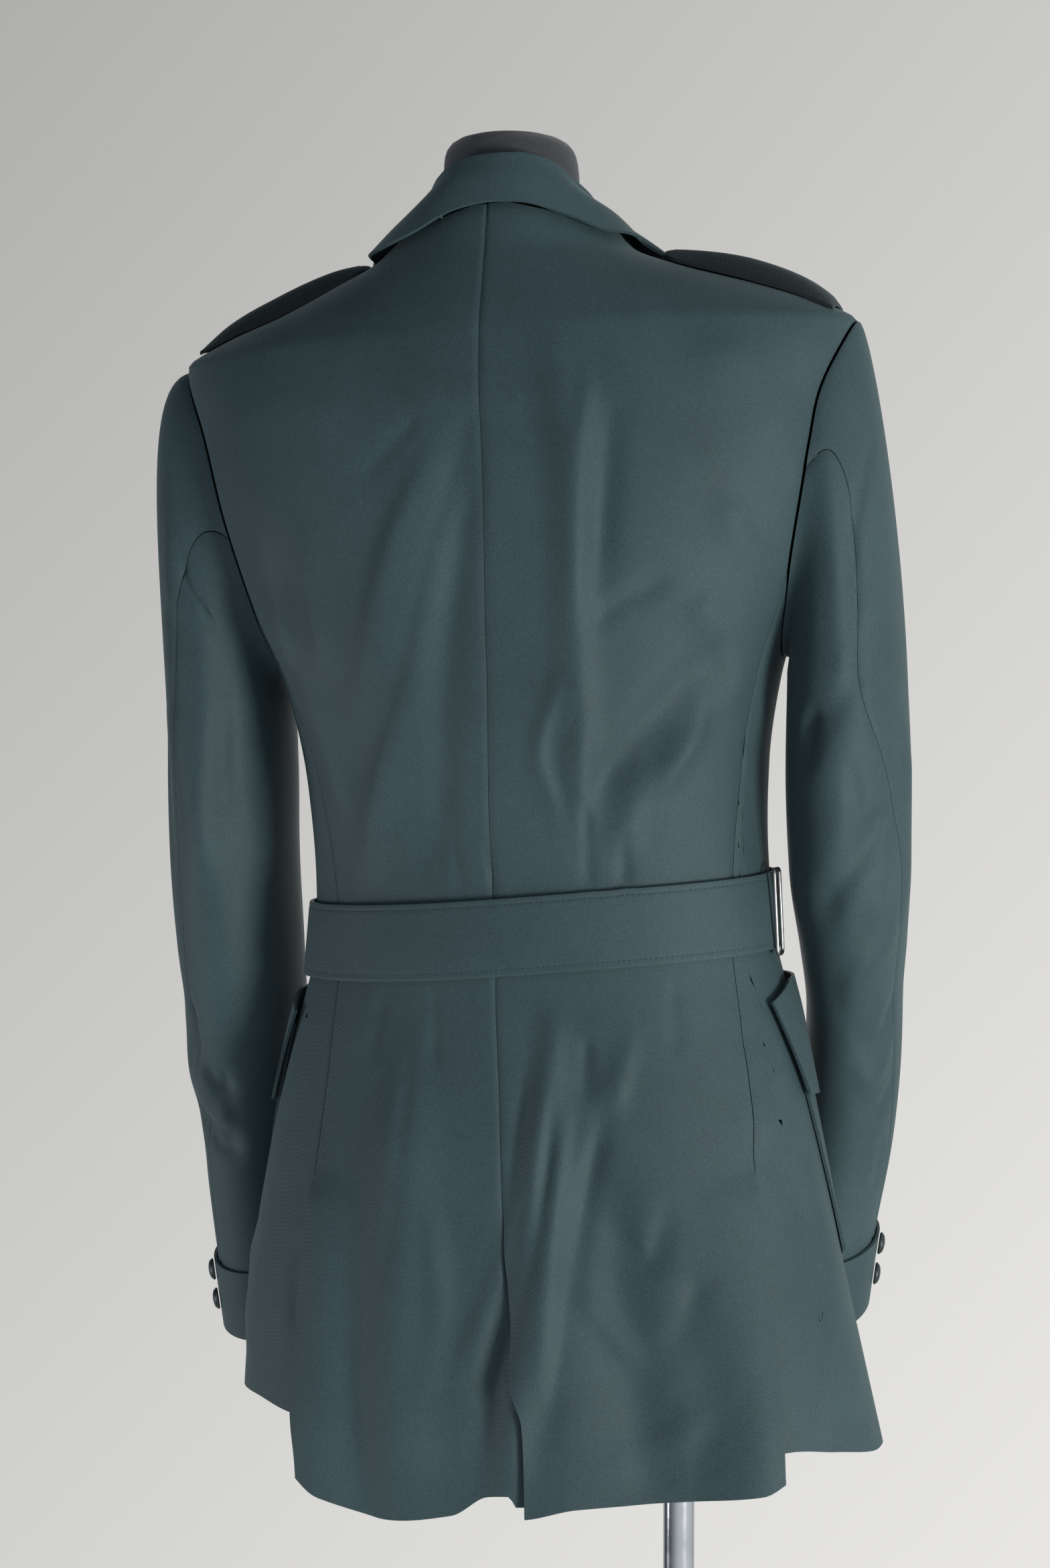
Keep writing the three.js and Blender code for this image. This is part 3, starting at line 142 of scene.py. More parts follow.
# The creases that only the fine cloth has: height (a trough is below 0), width on the side of smaller
# angles, width on the other side, then the angle and z of each point that the crease runs through
BODY_CREASES = [
    (3.4, 7, 9, [(-33, 1396), (-29.5, 1356), (-26.5, 1312), (-24, 1258), (-21.5, 1204)]),
    (-3.2, 8, 6, [(-37, 1372), (-33.5, 1308), (-29, 1216)]),
    (2.6, 6, 8, [(-21.5, 1212), (-19.5, 1192), (-13.5, 1154), (-18, 1119), (-22, 1071)]),
    (-1.6, 8, 7, [(-27, 1196), (-21, 1150), (-25, 1106)]),
    (-4.8, 9, 16, [(0, 1376), (8.5, 1330), (15.5, 1290), (22, 1250), (29, 1209), (39.5, 1164),
                  (53.5, 1104), (62, 1066)]),
    (2.2, 8, 10, [(12, 1352), (25, 1290), (36, 1222), (52, 1150)]),
    (-1.4, 6, 6, [(17, 1366), (26, 1346), (36, 1322)]),
    (2.6, 8, 8, [(48, 1314), (48.5, 1244), (53, 1200)]),
    (-2.2, 7, 6, [(57, 1302), (57, 1244), (61, 1196)]),
    (3.0, 15, 15, [(-55.5, 1410), (-63.5, 1370), (-73, 1320)]),
    (-2.6, 6, 7, [(-27, 1221), (-35, 1242), (-44.5, 1254), (-49.5, 1262)]),
    (3.0, 8, 9, [(-56, 1312), (-60, 1281), (-72, 1250)]),
    (3.2, 12, 10, [(-51, 1246), (-56, 1233), (-66, 1200), (-70, 1164)]),
    (3.0, 9, 9, [(-55, 1228), (-58, 1178), (-53.5, 1154), (-44, 1134), (-36, 1128)]),
    (-3.0, 9, 10, [(-51, 1166), (-48, 1145), (-45, 1118), (-47, 1088)]),
    (-2.0, 5, 6, [(-27.5, 1130), (-29, 1062)]), (-2.0, 5, 6, [(-38.5, 1110), (-40.5, 1062)]),
    (-1.3, 5, 6, [(20, 1118), (17.5, 1062)]), (1.4, 6, 7, [(36, 1122), (35, 1062)]),
    (-1.2, 6, 5, [(8, 1108), (6, 1062)]),
    (4.2, 11, 9, [(-9, 992), (-7.5, 946), (-1, 879), (5, 830), (14, 789), (21.5, 742)]),
    (-4.2, 7, 8, [(-15.5, 975), (-9.5, 882), (-2, 813), (3.5, 770)]),
    (5.0, 8, 8, [(-21, 958), (-14.5, 891), (-11, 842), (-8, 783), (-4, 740)]),
    (-3.8, 10, 8, [(-32, 948), (-22, 874), (-16, 812)]),
    (-1.8, 6, 6, [(-26, 985), (-24, 938)]), (2.6, 8, 9, [(-40.5, 986), (-29.5, 928)]),
    (-2.6, 8, 8, [(-46, 892), (-39, 846), (-29.5, 870)]), (-2.2, 8, 8, [(-51, 840), (-41, 786)]),
    (2.8, 9, 9, [(-18.5, 836), (-39.5, 776)]), (2.2, 10, 10, [(-50, 775), (-40, 740), (-14, 722)]),
    (3.4, 10, 10, [(59, 930), (50, 786), (47, 722)]), (-2.4, 5, 5, [(61, 862), (60, 792)]),
    (2.4, 10, 8, [(28, 905), (22, 820), (26, 730)]), (-2.0, 7, 6, [(36, 980), (34, 900), (37, 820)]),
    (-1.4, 5, 5, [(30, 1016), (27, 955)]), (-1.4, 5, 5, [(46, 1016), (48, 962)]),
    (-1.3, 5, 5, [(-52, 1016), (-50, 962)]),
    (2.6, 9, 10, [(-69, 975), (-68, 895)]), (-3.0, 11, 12, [(-74, 905), (-79.5, 800)]),
    (2.4, 11, 10, [(84, 860), (80, 770)]),
    (-3.0, 6, 7, [(152, 1008), (146, 925)]), (-3.0, 6, 7, [(-152, 1008), (-145, 925)]),
    (-2.8, 8, 9, [(172, 1202), (156, 1150), (138, 1112)]),
    (-2.8, 8, 9, [(-168, 1196), (-152, 1152), (-136, 1112)]),
    (3.0, 9, 9, [(124, 1186), (108, 1130), (101, 1080)]),
    (3.0, 9, 9, [(-122, 1190), (-109, 1136), (-100, 1082)]),
    (3.2, 12, 14, [(168, 1002), (160, 880), (164, 740)]),
    (3.2, 12, 14, [(-166, 1002), (-158, 870), (-162, 740)]),
    (2.6, 12, 12, [(136, 1366), (122, 1300), (116, 1250)]),
    (2.6, 12, 12, [(-134, 1362), (-121, 1300), (-115, 1252)])]
SLEEVE_LARGE = {
    1: [(40, 985, 100, 945, 12, -5), (30, 930, 95, 905, 11, -5), (60, 1200, 90, 1090, 14, 4)],
    -1: [(60, 1210, 130, 1140, 14, -4), (40, 1110, 110, 1050, 12, -5), (30, 1040, 90, 1000, 11, 4)]}
# On a sleeve the head's z runs evenly from 1413 at the armhole to 1195 where the head ends
SLEEVE_CREASES = {
    1: [(-2.8, 6, 6, [(74, 1312), (82, 1284), (97, 1284), (104, 1262)]),
        (2.6, 8, 8, [(62, 1318), (66, 1270), (84, 1238)]),
        (-2.6, 6, 7, [(64, 1012), (52, 986), (39, 910)]), (-2.4, 6, 6, [(58, 968), (84, 950), (100, 956)]),
        (2.4, 7, 7, [(48, 950), (78, 928), (98, 934)]), (-2.2, 6, 6, [(42, 925), (70, 905), (94, 912)]),
        (-2.0, 7, 8, [(30, 1190), (44, 1130), (52, 1068)]),
        (2.4, 9, 9, [(96, 1210), (92, 1130), (100, 1060)]),
        (-2.4, 8, 8, [(118, 1226), (112, 1150), (122, 1080)]), (-1.8, 7, 7, [(20, 1060), (28, 990)]),
        (-2.4, 7, 7, [(-40, 990), (-62, 950)]), (2.2, 8, 8, [(-52, 1000), (-74, 962)]),
        (-2.4, 8, 8, [(-30, 1240), (-58, 1180)])],
    -1: [(-3.6, 6, 8, [(20, 1316), (44, 1290), (58, 1272), (62, 1256), (48, 1236)]),
         (3.2, 8, 8, [(42, 1240), (56, 1226), (78, 1200), (116, 1158)]),
         (-3.0, 6, 7, [(102, 1178), (118, 1158), (115, 1132)]),
         (-2.6, 7, 7, [(40, 1112), (52, 1098), (70, 1068)]),
         (2.4, 8, 8, [(30, 1086), (48, 1060), (58, 1030)]),
         (-2.4, 8, 8, [(78, 1150), (70, 1106), (82, 1052)]), (-2.8, 7, 7, [(20, 1000), (48, 968), (88, 972)]),
         (2.4, 7, 7, [(24, 972), (52, 944), (86, 946)]), (-2.2, 6, 6, [(16, 944), (44, 918), (78, 924)]),
         (2.2, 10, 10, [(14, 1180), (10, 1100), (16, 1020)]), (-2.0, 8, 8, [(34, 900), (30, 850)]),
         (-2.4, 7, 7, [(-40, 1000), (-62, 960)]), (2.2, 8, 8, [(-52, 1012), (-74, 974)]),
         (-2.4, 8, 8, [(-30, 1240), (-58, 1180)])]}


def smooth(low, high, value):
    t = np.clip((np.asarray(value, float) - low) / (high - low), 0, 1)
    return t * t * (3 - 2 * t)


def read(rows, column, at, key="z"):
    """Smooth interpolation of one column, with no overshoot between its rows."""
    x, y = rows[key], rows[column]
    if x[0] > x[-1]:
        x, y = x[::-1], y[::-1]
    slope = np.diff(y) / np.diff(x)
    before = np.concatenate([slope[:1], slope])
    after = np.concatenate([slope, slope[-1:]])
    product = before * after
    gentle = np.where(product > 0, 2 * product / np.where(before + after == 0, 1, before + after), 0)
    at = np.clip(np.asarray(at, float), x[0], x[-1])
    i = np.clip(np.searchsorted(x, at, side="right") - 1, 0, len(x) - 2)
    span = x[i + 1] - x[i]
    t = (at - x[i]) / span
    return ((2 * t ** 3 - 3 * t ** 2 + 1) * y[i] + (t ** 3 - 2 * t ** 2 + t) * gentle[i] * span
            + (3 * t ** 2 - 2 * t ** 3) * y[i + 1] + (t ** 3 - t ** 2) * gentle[i + 1] * span)


def folds_at(folds, angle, z, radius):
    """How far all the largest folds lift the cloth."""
    total = np.zeros(np.broadcast(angle, z).shape)
    for angle0, z0, angle1, z1, width, height in folds:
        across, along = math.radians(angle1 - angle0) * radius, z1 - z0
        length = math.hypot(across, along)
        a, b = np.radians(angle - angle0) * radius, z - z0
        t = (a * across + b * along) / length ** 2
        off = (a * along - b * across) / length
        taper = smooth(-0.15, 0.2, t) * (1 - smooth(0.8, 1.15, t))
        total = total + height * taper * np.exp(-(off / width) ** 2)
    return total


def creases_at(creases, angle, z, radius):
    """How far all the creases lift the cloth; each is uneven along its length and runs out at both ends."""
    angle, z = np.broadcast_arrays(np.asarray(angle, float), np.asarray(z, float))
    total = np.zeros(angle.shape)
    across = np.radians(angle) * radius
    for number, (height, narrow, wide, points) in enumerate(creases):
        places = np.array(points, float)
        steps = np.linspace(0, 1, 5 * len(places) - 4)
        knots = np.linspace(0, 1, len(places))
        x = read({"k": knots, "v": np.radians(places[:, 0]) * radius}, "v", steps, "k")
        y = read({"k": knots, "v": places[:, 1]}, "v", steps, "k")
        near = (across > x.min() - 40) & (across < x.max() + 40) & (z > y.min() - 40) & (z < y.max() + 40)
        if not near.any():
            continue
        a, b = across[near], z[near]
        best, side, share = np.full(a.shape, 1e9), np.zeros(a.shape), np.zeros(a.shape)
        for i in range(len(x) - 1):
            dx, dy = x[i + 1] - x[i], y[i + 1] - y[i]
            t = np.clip(((a - x[i]) * dx + (b - y[i]) * dy) / max(dx * dx + dy * dy, 1e-9), 0, 1)
            off_x, off_y = a - x[i] - t * dx, b - y[i] - t * dy
            distance = np.hypot(off_x, off_y)
            closer = distance < best
            best = np.where(closer, distance, best)
            side = np.where(closer, off_x * dy - off_y * dx, side)
            share = np.where(closer, (i + t) / (len(x) - 1), share)
        width = np.where(side > 0, narrow, wide) * (0.8 + 0.45 * share)
        taper = smooth(0, 0.3, share) * (1 - smooth(0.62, 1, share))
        uneven = 1 + 0.22 * np.sin(9 * share + 2.1 * number)
        total[near] += height * taper * uneven * np.exp(-(best / width) ** 2)
    return total


def body_radius(angle, z):
    angle, z = np.broadcast_arrays(np.asarray(angle, float), np.asarray(z, float))
    turn = np.radians(angle)
    wide = np.where(np.sin(turn) >= 0, read(BODY, "left", z), read(BODY, "right", z))
    deep = np.where(np.cos(turn) >= 0, read(BODY, "back", z), read(BODY, "front", z))
    power = read(BODY, "power", z)
    total = np.abs(np.sin(turn) / wide) ** power + np.abs(np.cos(turn) / deep) ** power
    wrapped = (angle + 180) % 360 - 180
    clear_of_belt = smooth(25, 60, np.abs(z - WAIST))
    lift = folds_at(LARGE_FOLDS, wrapped, z, BODY_FOLD_RADIUS) * clear_of_belt
    fine = creases_at(BODY_CREASES, wrapped, z, BODY_FOLD_RADIUS) * smooth(22, 36, np.abs(z - WAIST))
    return total ** (-1 / power) + lift + fine


def body_point(angle, z):
    radius = body_radius(angle, z)
    turn = np.radians(angle)
    return np.stack(np.broadcast_arrays(
        radius * np.sin(turn), read(BODY, "middle", z) + radius * np.cos(turn), z + 0.0 * turn), axis=-1)


def outward(surface, a, b, step_a, step_b):
    """Unit normals of a surface given as a function of two values."""
    along_a = surface(a + step_a, b) - surface(a - step_a, b)
    along_b = surface(a, b + step_b) - surface(a, b - step_b)
    normal = np.cross(along_b, along_a)
    return normal / np.maximum(np.linalg.norm(normal, axis=-1, keepdims=True), 1e-9)


def on_body(angle, z, lift):
    """Points on the body's surface moved out by lift, and the way out there."""
    normal = outward(body_point, angle, z, 0.5, 1.0)
    return body_point(angle, z) + normal * np.asarray(lift)[..., None], normal


def angle_at_depth(depth, z, sign):
    """The angle at which the body's surface has this depth, on one side."""
    from_middle = depth - read(BODY, "middle", z)
    reach = np.where(from_middle >= 0, read(BODY, "back", z), read(BODY, "front", z))
    power = read(BODY, "power", z)
    share = np.minimum(1, np.abs(from_middle) / reach)
    across = read(BODY, SIDE[sign], z) * (1 - share ** power) ** (1 / power)
    return np.degrees(np.arctan2(across, from_middle))


def armhole_depth(z, half):
    """The depth of the armhole's edge; half is the back's or the front's half of the armhole."""
    rise = (z - ARM_MIDDLE) / (ARM_HALF_HEIGHT + ARM_GAP)
    return (half + ARM_GAP) * np.sqrt(np.maximum(0, 1 - rise * rise))


def with_hem(panel, angle, z):
    """A panel's heights with its uneven hem worked in."""
    rise = read(HEM, panel, angle, "angle") - PANEL_BOTTOM
    return z + rise * (1 - smooth(PANEL_BOTTOM, HEM_BLEND_TOP, z))


def dense(levels, step=STEP):
    """The given levels with more between them, none further apart than a step."""
    out = [levels[0]]
    for low, high in zip(levels, levels[1:]):
        count = max(1, math.ceil(abs(high - low) / step))
        out += [low + (high - low) * (i + 1) / count for i in range(count)]
    return np.array(out)


def to_world(points):
    """From the garment's own frame, in millimetres, to the row's frame, in metres."""
    x, y, z = points[..., 0], points[..., 1], points[..., 2] - HEM_LEVEL
    return np.stack([GARMENT_X + x * math.cos(LEAN) + z * math.sin(LEAN), GARMENT_Y + y,
                     HEM_LEVEL - x * math.sin(LEAN) + z * math.cos(LEAN)], axis=-1) / 1000


# Meshes
def finish_piece(name, mesh, material, nodes, sharp):
    mesh.shade_smooth()
    mesh.set_sharp_from_angle(angle=math.radians(sharp))
    mesh.materials.append(material)
    piece = bpy.data.objects.new(name, mesh)
    bpy.context.scene.collection.objects.link(piece)
    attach(piece, "root")
    if nodes:
        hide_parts(*nodes)
    return piece


def new_piece(name, vertices, faces, material, slot, *nodes, sharp=38):
    """A piece from points of the garment's frame and faces between them."""
    mesh = bpy.data.meshes.new(name)
    mesh.from_pydata(to_world(vertices).tolist(), [], faces)
    mesh.validate()
    return finish_piece(name, mesh, material, nodes, sharp)


def grid_faces(rows, columns, ring):
    """Quads of a wall: its outer grid, its inner grid and the rims between them."""
    def at(layer, row, column):
        return layer * rows * columns + row * columns + column % columns
    faces = []
    spans = columns if ring else columns - 1
    for row in range(rows - 1):
        for c in range(spans):
            faces.append((at(0, row, c), at(0, row + 1, c), at(0, row + 1, c + 1), at(0, row, c + 1)))
            faces.append((at(1, row, c), at(1, row, c + 1), at(1, row + 1, c + 1), at(1, row + 1, c)))
    top, side = rows - 1, columns - 1
    for c in range(spans):
        faces.append((at(0, 0, c), at(0, 0, c + 1), at(1, 0, c + 1), at(1, 0, c)))
        faces.append((at(0, top, c), at(1, top, c), at(1, top, c + 1), at(0, top, c + 1)))
    if not ring:
        for row in range(rows - 1):
            faces.append((at(0, row, 0), at(1, row, 0), at(1, row + 1, 0), at(0, row + 1, 0)))
            faces.append((at(0, row, side), at(0, row + 1, side), at(1, row + 1, side), at(1, row, side)))
    return faces


def cloth(node, outer, normal, wall=WALL, ring=False,
          flip=False, material=None):
    """One cut piece of cloth, standing for its CAD node, which it hides."""
    inner = outer - normal * wall
    if flip:
        outer, inner = outer[:, ::-1], inner[:, ::-1]
    faces = grid_faces(*outer.shape[:2], ring)
    vertices = np.concatenate([outer.reshape(-1, 3), inner.reshape(-1, 3)])
    piece = new_piece("cloth_" + node, vertices, faces, material or CLOTH, "uniform_cloth", node)


# Materials
def new_material(name):
    material = bpy.data.materials.new(name)
    material.use_nodes = True
    return material, material.node_tree, material.node_tree.nodes["Principled BSDF"]


def feed(node, sockets):
    """Sets each named socket of a node to a value, or links it to another node's output."""
    for name, value in sockets.items():
        if isinstance(value, bpy.types.NodeSocket):
            node.id_data.links.new(value, node.inputs[name])
        else:
            node.inputs[name].default_value = value
    return node


def add(tree, kind, sockets):
    return feed(tree.nodes.new("ShaderNode" + kind), sockets)


def noise(tree, **sockets):
    """A random pattern that stays on the piece."""
    place = add(tree, "TexCoord", {}).outputs["Object"]
    return add(tree, "TexNoise", {"Vector": place, **sockets}).outputs["Fac"]


def ramp(tree, factor, first, last, start=0.0, end=1.0):
    """A colour that runs from the first to the last as the factor runs from start to end."""
    node = add(tree, "ValToRGB", {"Fac": factor})
    for element, colour, place in zip(node.color_ramp.elements, (first, last), (start, end)):
        element.position = place
        element.color = (*colour, 1)
    return node.outputs["Color"]


def mix(tree, factor, first, second, blend="MIX"):
    node = tree.nodes.new("ShaderNodeMix")
    node.data_type = "RGBA"
    node.blend_type = blend
    return feed(node, {"Factor": factor, "A": first, "B": second}).outputs["Result"]


def bump(tree, height, strength, distance, **sockets):
    values = {"Height": height, "Strength": strength, "Distance": distance, **sockets}
    return add(tree, "Bump", values).outputs["Normal"]


def between(tree, factor, low, high):
    """A value from low to high as the factor runs from 0 to 1."""
    return add(tree, "MapRange", {"Value": factor, "To Min": low, "To Max": high}).outputs["Result"]


def cloth_material(name, tone):
    """Fine wool twill: dark green with a soft mottle, diagonal ribs and a faint nap."""
    material, tree, shader = new_material(name)
    mottle = noise(tree, Scale=9, Detail=8, Roughness=0.65)
    fleck = noise(tree, Scale=900, Detail=3)
    dark = (0.026 * tone, 0.050 * tone, 0.056 * tone)
    light = (0.040 * tone, 0.072 * tone, 0.080 * tone)
    green = ramp(tree, mottle, dark, light, 0.3, 0.72)
    flecks = ramp(tree, fleck, (0.82, 0.82, 0.82), (1.16, 1.17, 1.16), 0.35, 0.7)
    rib = add(tree, "TexWave", {
        "Vector": add(tree, "TexCoord", {}).outputs["Object"], "Scale": 320, "Distortion": 1.2, "Detail": 2,
        "Detail Scale": 2.5})
    rib.wave_type = "BANDS"
    rib.bands_direction = "DIAGONAL"
    weave = bump(tree, rib.outputs["Fac"], 0.22, 0.0003)
    feed(shader, {
        "Base Color": mix(tree, 1, green, flecks, "MULTIPLY"),
        "Normal": bump(tree, fleck, 0.12, 0.0008, Normal=weave),
        "Roughness": between(tree, mottle, 0.6, 0.76),
        "Specular IOR Level": 0.35, "Sheen Weight": 0.12, "Sheen Roughness": 0.45,
        "Sheen Tint": (0.6, 0.78, 0.76, 1)})
    return material


def form_material():
    """Matt charcoal knit stretched over the form."""
    material, tree, shader = new_material("charcoal_cover")
    knit = noise(tree, Scale=420, Detail=4)
    feed(shader, {
        "Base Color": ramp(tree, knit, (0.014, 0.015, 0.018), (0.045, 0.046, 0.052)),
        "Normal": bump(tree, knit, 0.25, 0.0006), "Roughness": 0.88, "Sheen Weight": 0.2})
    return material


def metal_material(name, colour, low, high, metallic):
    """Bare or lacquered metal, its roughness uneven from handling."""
    material, tree, shader = new_material(name)
    wear = noise(tree, Scale=60, Detail=6)
    feed(shader, {
        "Base Color": ramp(tree, wear, [0.82 * c for c in colour], colour),
        "Roughness": between(tree, wear, low, high), "Metallic": metallic})
    return material


CLOTH = cloth_material("wool_twill", 1.0)
# The straps' cloth is partly a darker cloth and partly painted shade: its low tone also darkens it for the
# shade on the shoulders' tops
DARK_STRAP_CLOTH_WITH_PAINTED_SHADE = cloth_material("wool_twill_darker_with_painted_shade", 0.22)
FORM_COVER = form_material()
STEEL = metal_material("stand_steel", (0.74, 0.74, 0.76), 0.08, 0.22, 1)
BUTTON = metal_material("button_metal", (0.05, 0.065, 0.066), 0.3, 0.5, 0.6)
THREAD = cloth_material("sewing_thread", 0.8)
WIRE = metal_material("buckle_wire", (0.42, 0.42, 0.41), 0.25, 0.45, 1)

# Panels of the body
BODY_LEVELS = [PANEL_BOTTOM, WAIST, ARM_HIGH + 0.6, NECK_POINT - 3]
NECK_LEVELS = [NECK_POINT, NECK_BACK]


def back_edge(sign, z):
    """The angle of the back's outer edge: side seam, armhole, then shoulder seam and neck."""
    armhole = angle_at_depth(armhole_depth(z, ARM_BACK_DEPTH), z, sign)
    seam = read(SIDE_SEAM, SIDE[sign], z)
    below = np.where(z > ARM_MIDDLE, armhole, np.where(z > ARM_LOW, np.minimum(armhole, seam), seam))
    above = np.where(z > NECK_POINT, read(BACK_NECK, "angle", z), 90.0)
    return np.where(z > ARM_HIGH, above, below)


def vent_step(z):
    """How far the back's edge lies over the side panel."""
    return 3.2 * smooth(-SIDE_VENT_TOP, -SIDE_VENT_TOP + 25, -z) + 12 * smooth(-SIDE_VENT_TOP + 20, -690, -z)


def seam_groove(millimetres, depth=0.9, width=2.2):
    """The cloth turns in a little where it is sewn to the next piece."""
    return -depth * np.exp(-(millimetres / width) ** 2)


def back_panel(sign):
    z = np.concatenate([dense(BODY_LEVELS), dense(NECK_LEVELS, 2)])[:, None]
    u = np.linspace(0, 1, 64)[None, :]
    edge = back_edge(sign, z) - SEAM_GAP
    overlap = VENT_LAP * (1 - smooth(VENT_TOP + 16, VENT_TOP + 84, z)) if sign < 0 else 0 * z
    opened = 1 - smooth(VENT_TOP - 50, VENT_TOP - 18, z)
    inner = sign * read(CENTRE_SEAM, "angle", z) + SEAM_GAP
    inner = inner + 0.3 * smooth(0, 0.4, overlap) + 0.25 * overlap / VENT_LAP
    inner = inner + opened * (-VENT_UNDERLAP if sign > 0 else 2.0)
    angle = inner + (edge - inner) * u
    raised = 1 - smooth(VENT_UNDERLAP + 4, VENT_UNDERLAP + 18, angle)
    lift = vent_step(z) * smooth(edge - 16, edge - 2, angle) + overlap * raised
    reach = 2.4
    lift = lift + seam_groove((angle - inner) * reach) * smooth(VENT_TOP - 30, VENT_TOP, z)
    lift = lift + seam_groove((edge - angle) * reach) * smooth(SIDE_VENT_TOP - 20, SIDE_VENT_TOP + 10, z)
    height = with_hem("back", sign * np.maximum(angle, 0), z + 0 * angle)
    outer, normal = on_body(sign * angle, height, lift)
    cloth("back_" + SIDE[sign], outer, normal, flip=sign < 0)


def armhole_bottom(sign, angle):
    """The height of the armhole's lower edge at an angle."""
    low = np.full(angle.shape, ARM_LOW - ARM_GAP)
    high = np.full(angle.shape, ARM_MIDDLE)
    for _ in range(22):
        z = (low + high) / 2
        inside = (angle > angle_at_depth(armhole_depth(z, ARM_BACK_DEPTH), z, sign)) & (
            angle < angle_at_depth(-armhole_depth(z, ARM_FRONT_DEPTH), z, sign))
        high = np.where(inside, z, high)
        low = np.where(inside, low, z)
    return high


def side_panel(sign):
    v = np.linspace(0, 1, 170)[:, None]
    u = np.linspace(0, 1, 40)[None, :]
    z = PANEL_BOTTOM + (ARM_LOW - PANEL_BOTTOM) * v + 0 * u
    for _ in range(8):
        underlap = 8 * smooth(-SIDE_VENT_TOP + 55, -SIDE_VENT_TOP + 115, -z)
        start = read(SIDE_SEAM, SIDE[sign], z) - underlap + SEAM_GAP
        angle = start + (SIDE_FRONT_SEAM - SEAM_GAP - start) * u
        z = PANEL_BOTTOM + (armhole_bottom(sign, angle) - PANEL_BOTTOM) * v
    lift = seam_groove((angle - start) * 2.6) * smooth(SIDE_VENT_TOP - 20, SIDE_VENT_TOP + 10, z)
    lift = lift + seam_groove((SIDE_FRONT_SEAM - angle) * 2.6)
    outer, normal = on_body(sign * angle, with_hem("side", sign * angle, z), lift)
    cloth("side_" + SIDE[sign], outer, normal, flip=sign < 0)


def front_lap(angle):
    """How far the wearer's left front stands off, to lap over the right."""
    return LAP * smooth(160, 170, angle)


def front_panel(sign):
    z = dense(BODY_LEVELS, 3.6)[:, None]
    u = np.linspace(0, 1, 64)[None, :]
    armhole = angle_at_depth(-armhole_depth(z, ARM_FRONT_DEPTH), z, sign)
    below = np.where(z > ARM_LOW, np.maximum(armhole, SIDE_FRONT_SEAM), SIDE_FRONT_SEAM)
    outer_edge = np.where(z > ARM_MIDDLE, armhole, below)
    outer_edge = np.where(z > ARM_HIGH, 90, outer_edge) + SEAM_GAP
    inner = read(FRONT_EDGE, "angle", z)
    angle = outer_edge + (inner - outer_edge) * u
    lift = front_lap(angle) if sign > 0 else 0 * angle
    lift = lift + seam_groove((angle - outer_edge) * 2.6)
    height = with_hem("side", sign * np.minimum(angle, 180), z + 0 * angle)
    outer, normal = on_body(sign * angle, height, lift)
    cloth("front_" + SIDE[sign], outer, normal, flip=sign < 0)


for sign in (1, -1):
    back_panel(sign)
    side_panel(sign)
    front_panel(sign)


# Sleeves
def sleeve_ring(sign, angle, z):
    """Points of the sleeve below its head."""
    rows = SLEEVES[sign]
    turn = np.radians(angle)
    wrapped = (angle + 110) % 360 - 110
    lift = folds_at(SLEEVE_LARGE[sign], angle, z, SLEEVE_FOLD_RADIUS)
    lift = lift + creases_at(SLEEVE_CREASES[sign], wrapped, z, SLEEVE_FOLD_RADIUS)
    depth = (read(rows, "deep", z) + lift) * np.sin(turn)
    across = (read(rows, "wide", z) + lift) * np.cos(turn)
    return np.stack(np.broadcast_arrays(
        read(rows, "x", z) + sign * across, read(rows, "y", z) + depth,
        z - depth * read(rows, "rise", z)), axis=-1)


def sleeve_point(sign, angle, along):
    """From the armhole (0) over the sleeve head (to 1) and down to the cuff's end (2)."""
    angle, along = np.broadcast_arrays(np.asarray(angle, float), np.asarray(along, float))
    turn = np.radians(angle)
    z = ARM_MIDDLE + ARM_HALF_HEIGHT * np.cos(turn)
    depth = np.where(np.sin(turn) > 0, ARM_BACK_DEPTH, ARM_FRONT_DEPTH) * np.sin(turn)
    start, _ = on_body(sign * angle_at_depth(depth, z, sign), z, 0.6)
    end = sleeve_ring(sign, angle, np.full(angle.shape, HEAD_END))
    sideways = np.abs(end[..., 0] - start[..., 0])
    first = start.copy()
    fullness = HEAD_UNDERARM + (HEAD_FULLNESS[sign] - HEAD_UNDERARM) * np.maximum(0, np.cos(turn))
    first[..., 0] += sign * (HEAD_SPREAD * sideways + fullness)
    second = end.copy()
    second[..., 2] += HEAD_DROP * np.maximum(0, start[..., 2] - end[..., 2])
    t = np.clip(along, 0, 1)[..., None]
    head = (1 - t) ** 3 * start + 3 * (1 - t) ** 2 * t * first + 3 * (1 - t) * t * t * second + t ** 3 * end
    level = ARM_HIGH + (HEAD_END - ARM_HIGH) * np.clip(along, 0, 1)
    wrapped = (angle + 110) % 360 - 110
    lift = creases_at(SLEEVE_CREASES[sign], wrapped, level, SLEEVE_FOLD_RADIUS) * (1 - t[..., 0] ** 3)
    head[..., 0] += sign * lift * np.cos(turn)
    head[..., 1] += lift * np.sin(turn)
    lower = sleeve_ring(sign, angle, HEAD_END + (CUFF_END - HEAD_END) * (along - 1))
    return np.where((along > 1)[..., None], lower, head)


def on_sleeve(sign, angle, along, lift):
    """Points on the sleeve moved out by lift, and the way out there."""
    def surface(a, b):
        return sleeve_point(sign, a, np.maximum(0, b))
    normal = sign * outward(surface, angle, np.maximum(along, 0.02), 1.0, 0.01)
    return surface(angle, along) + normal * np.asarray(lift)[..., None], normal


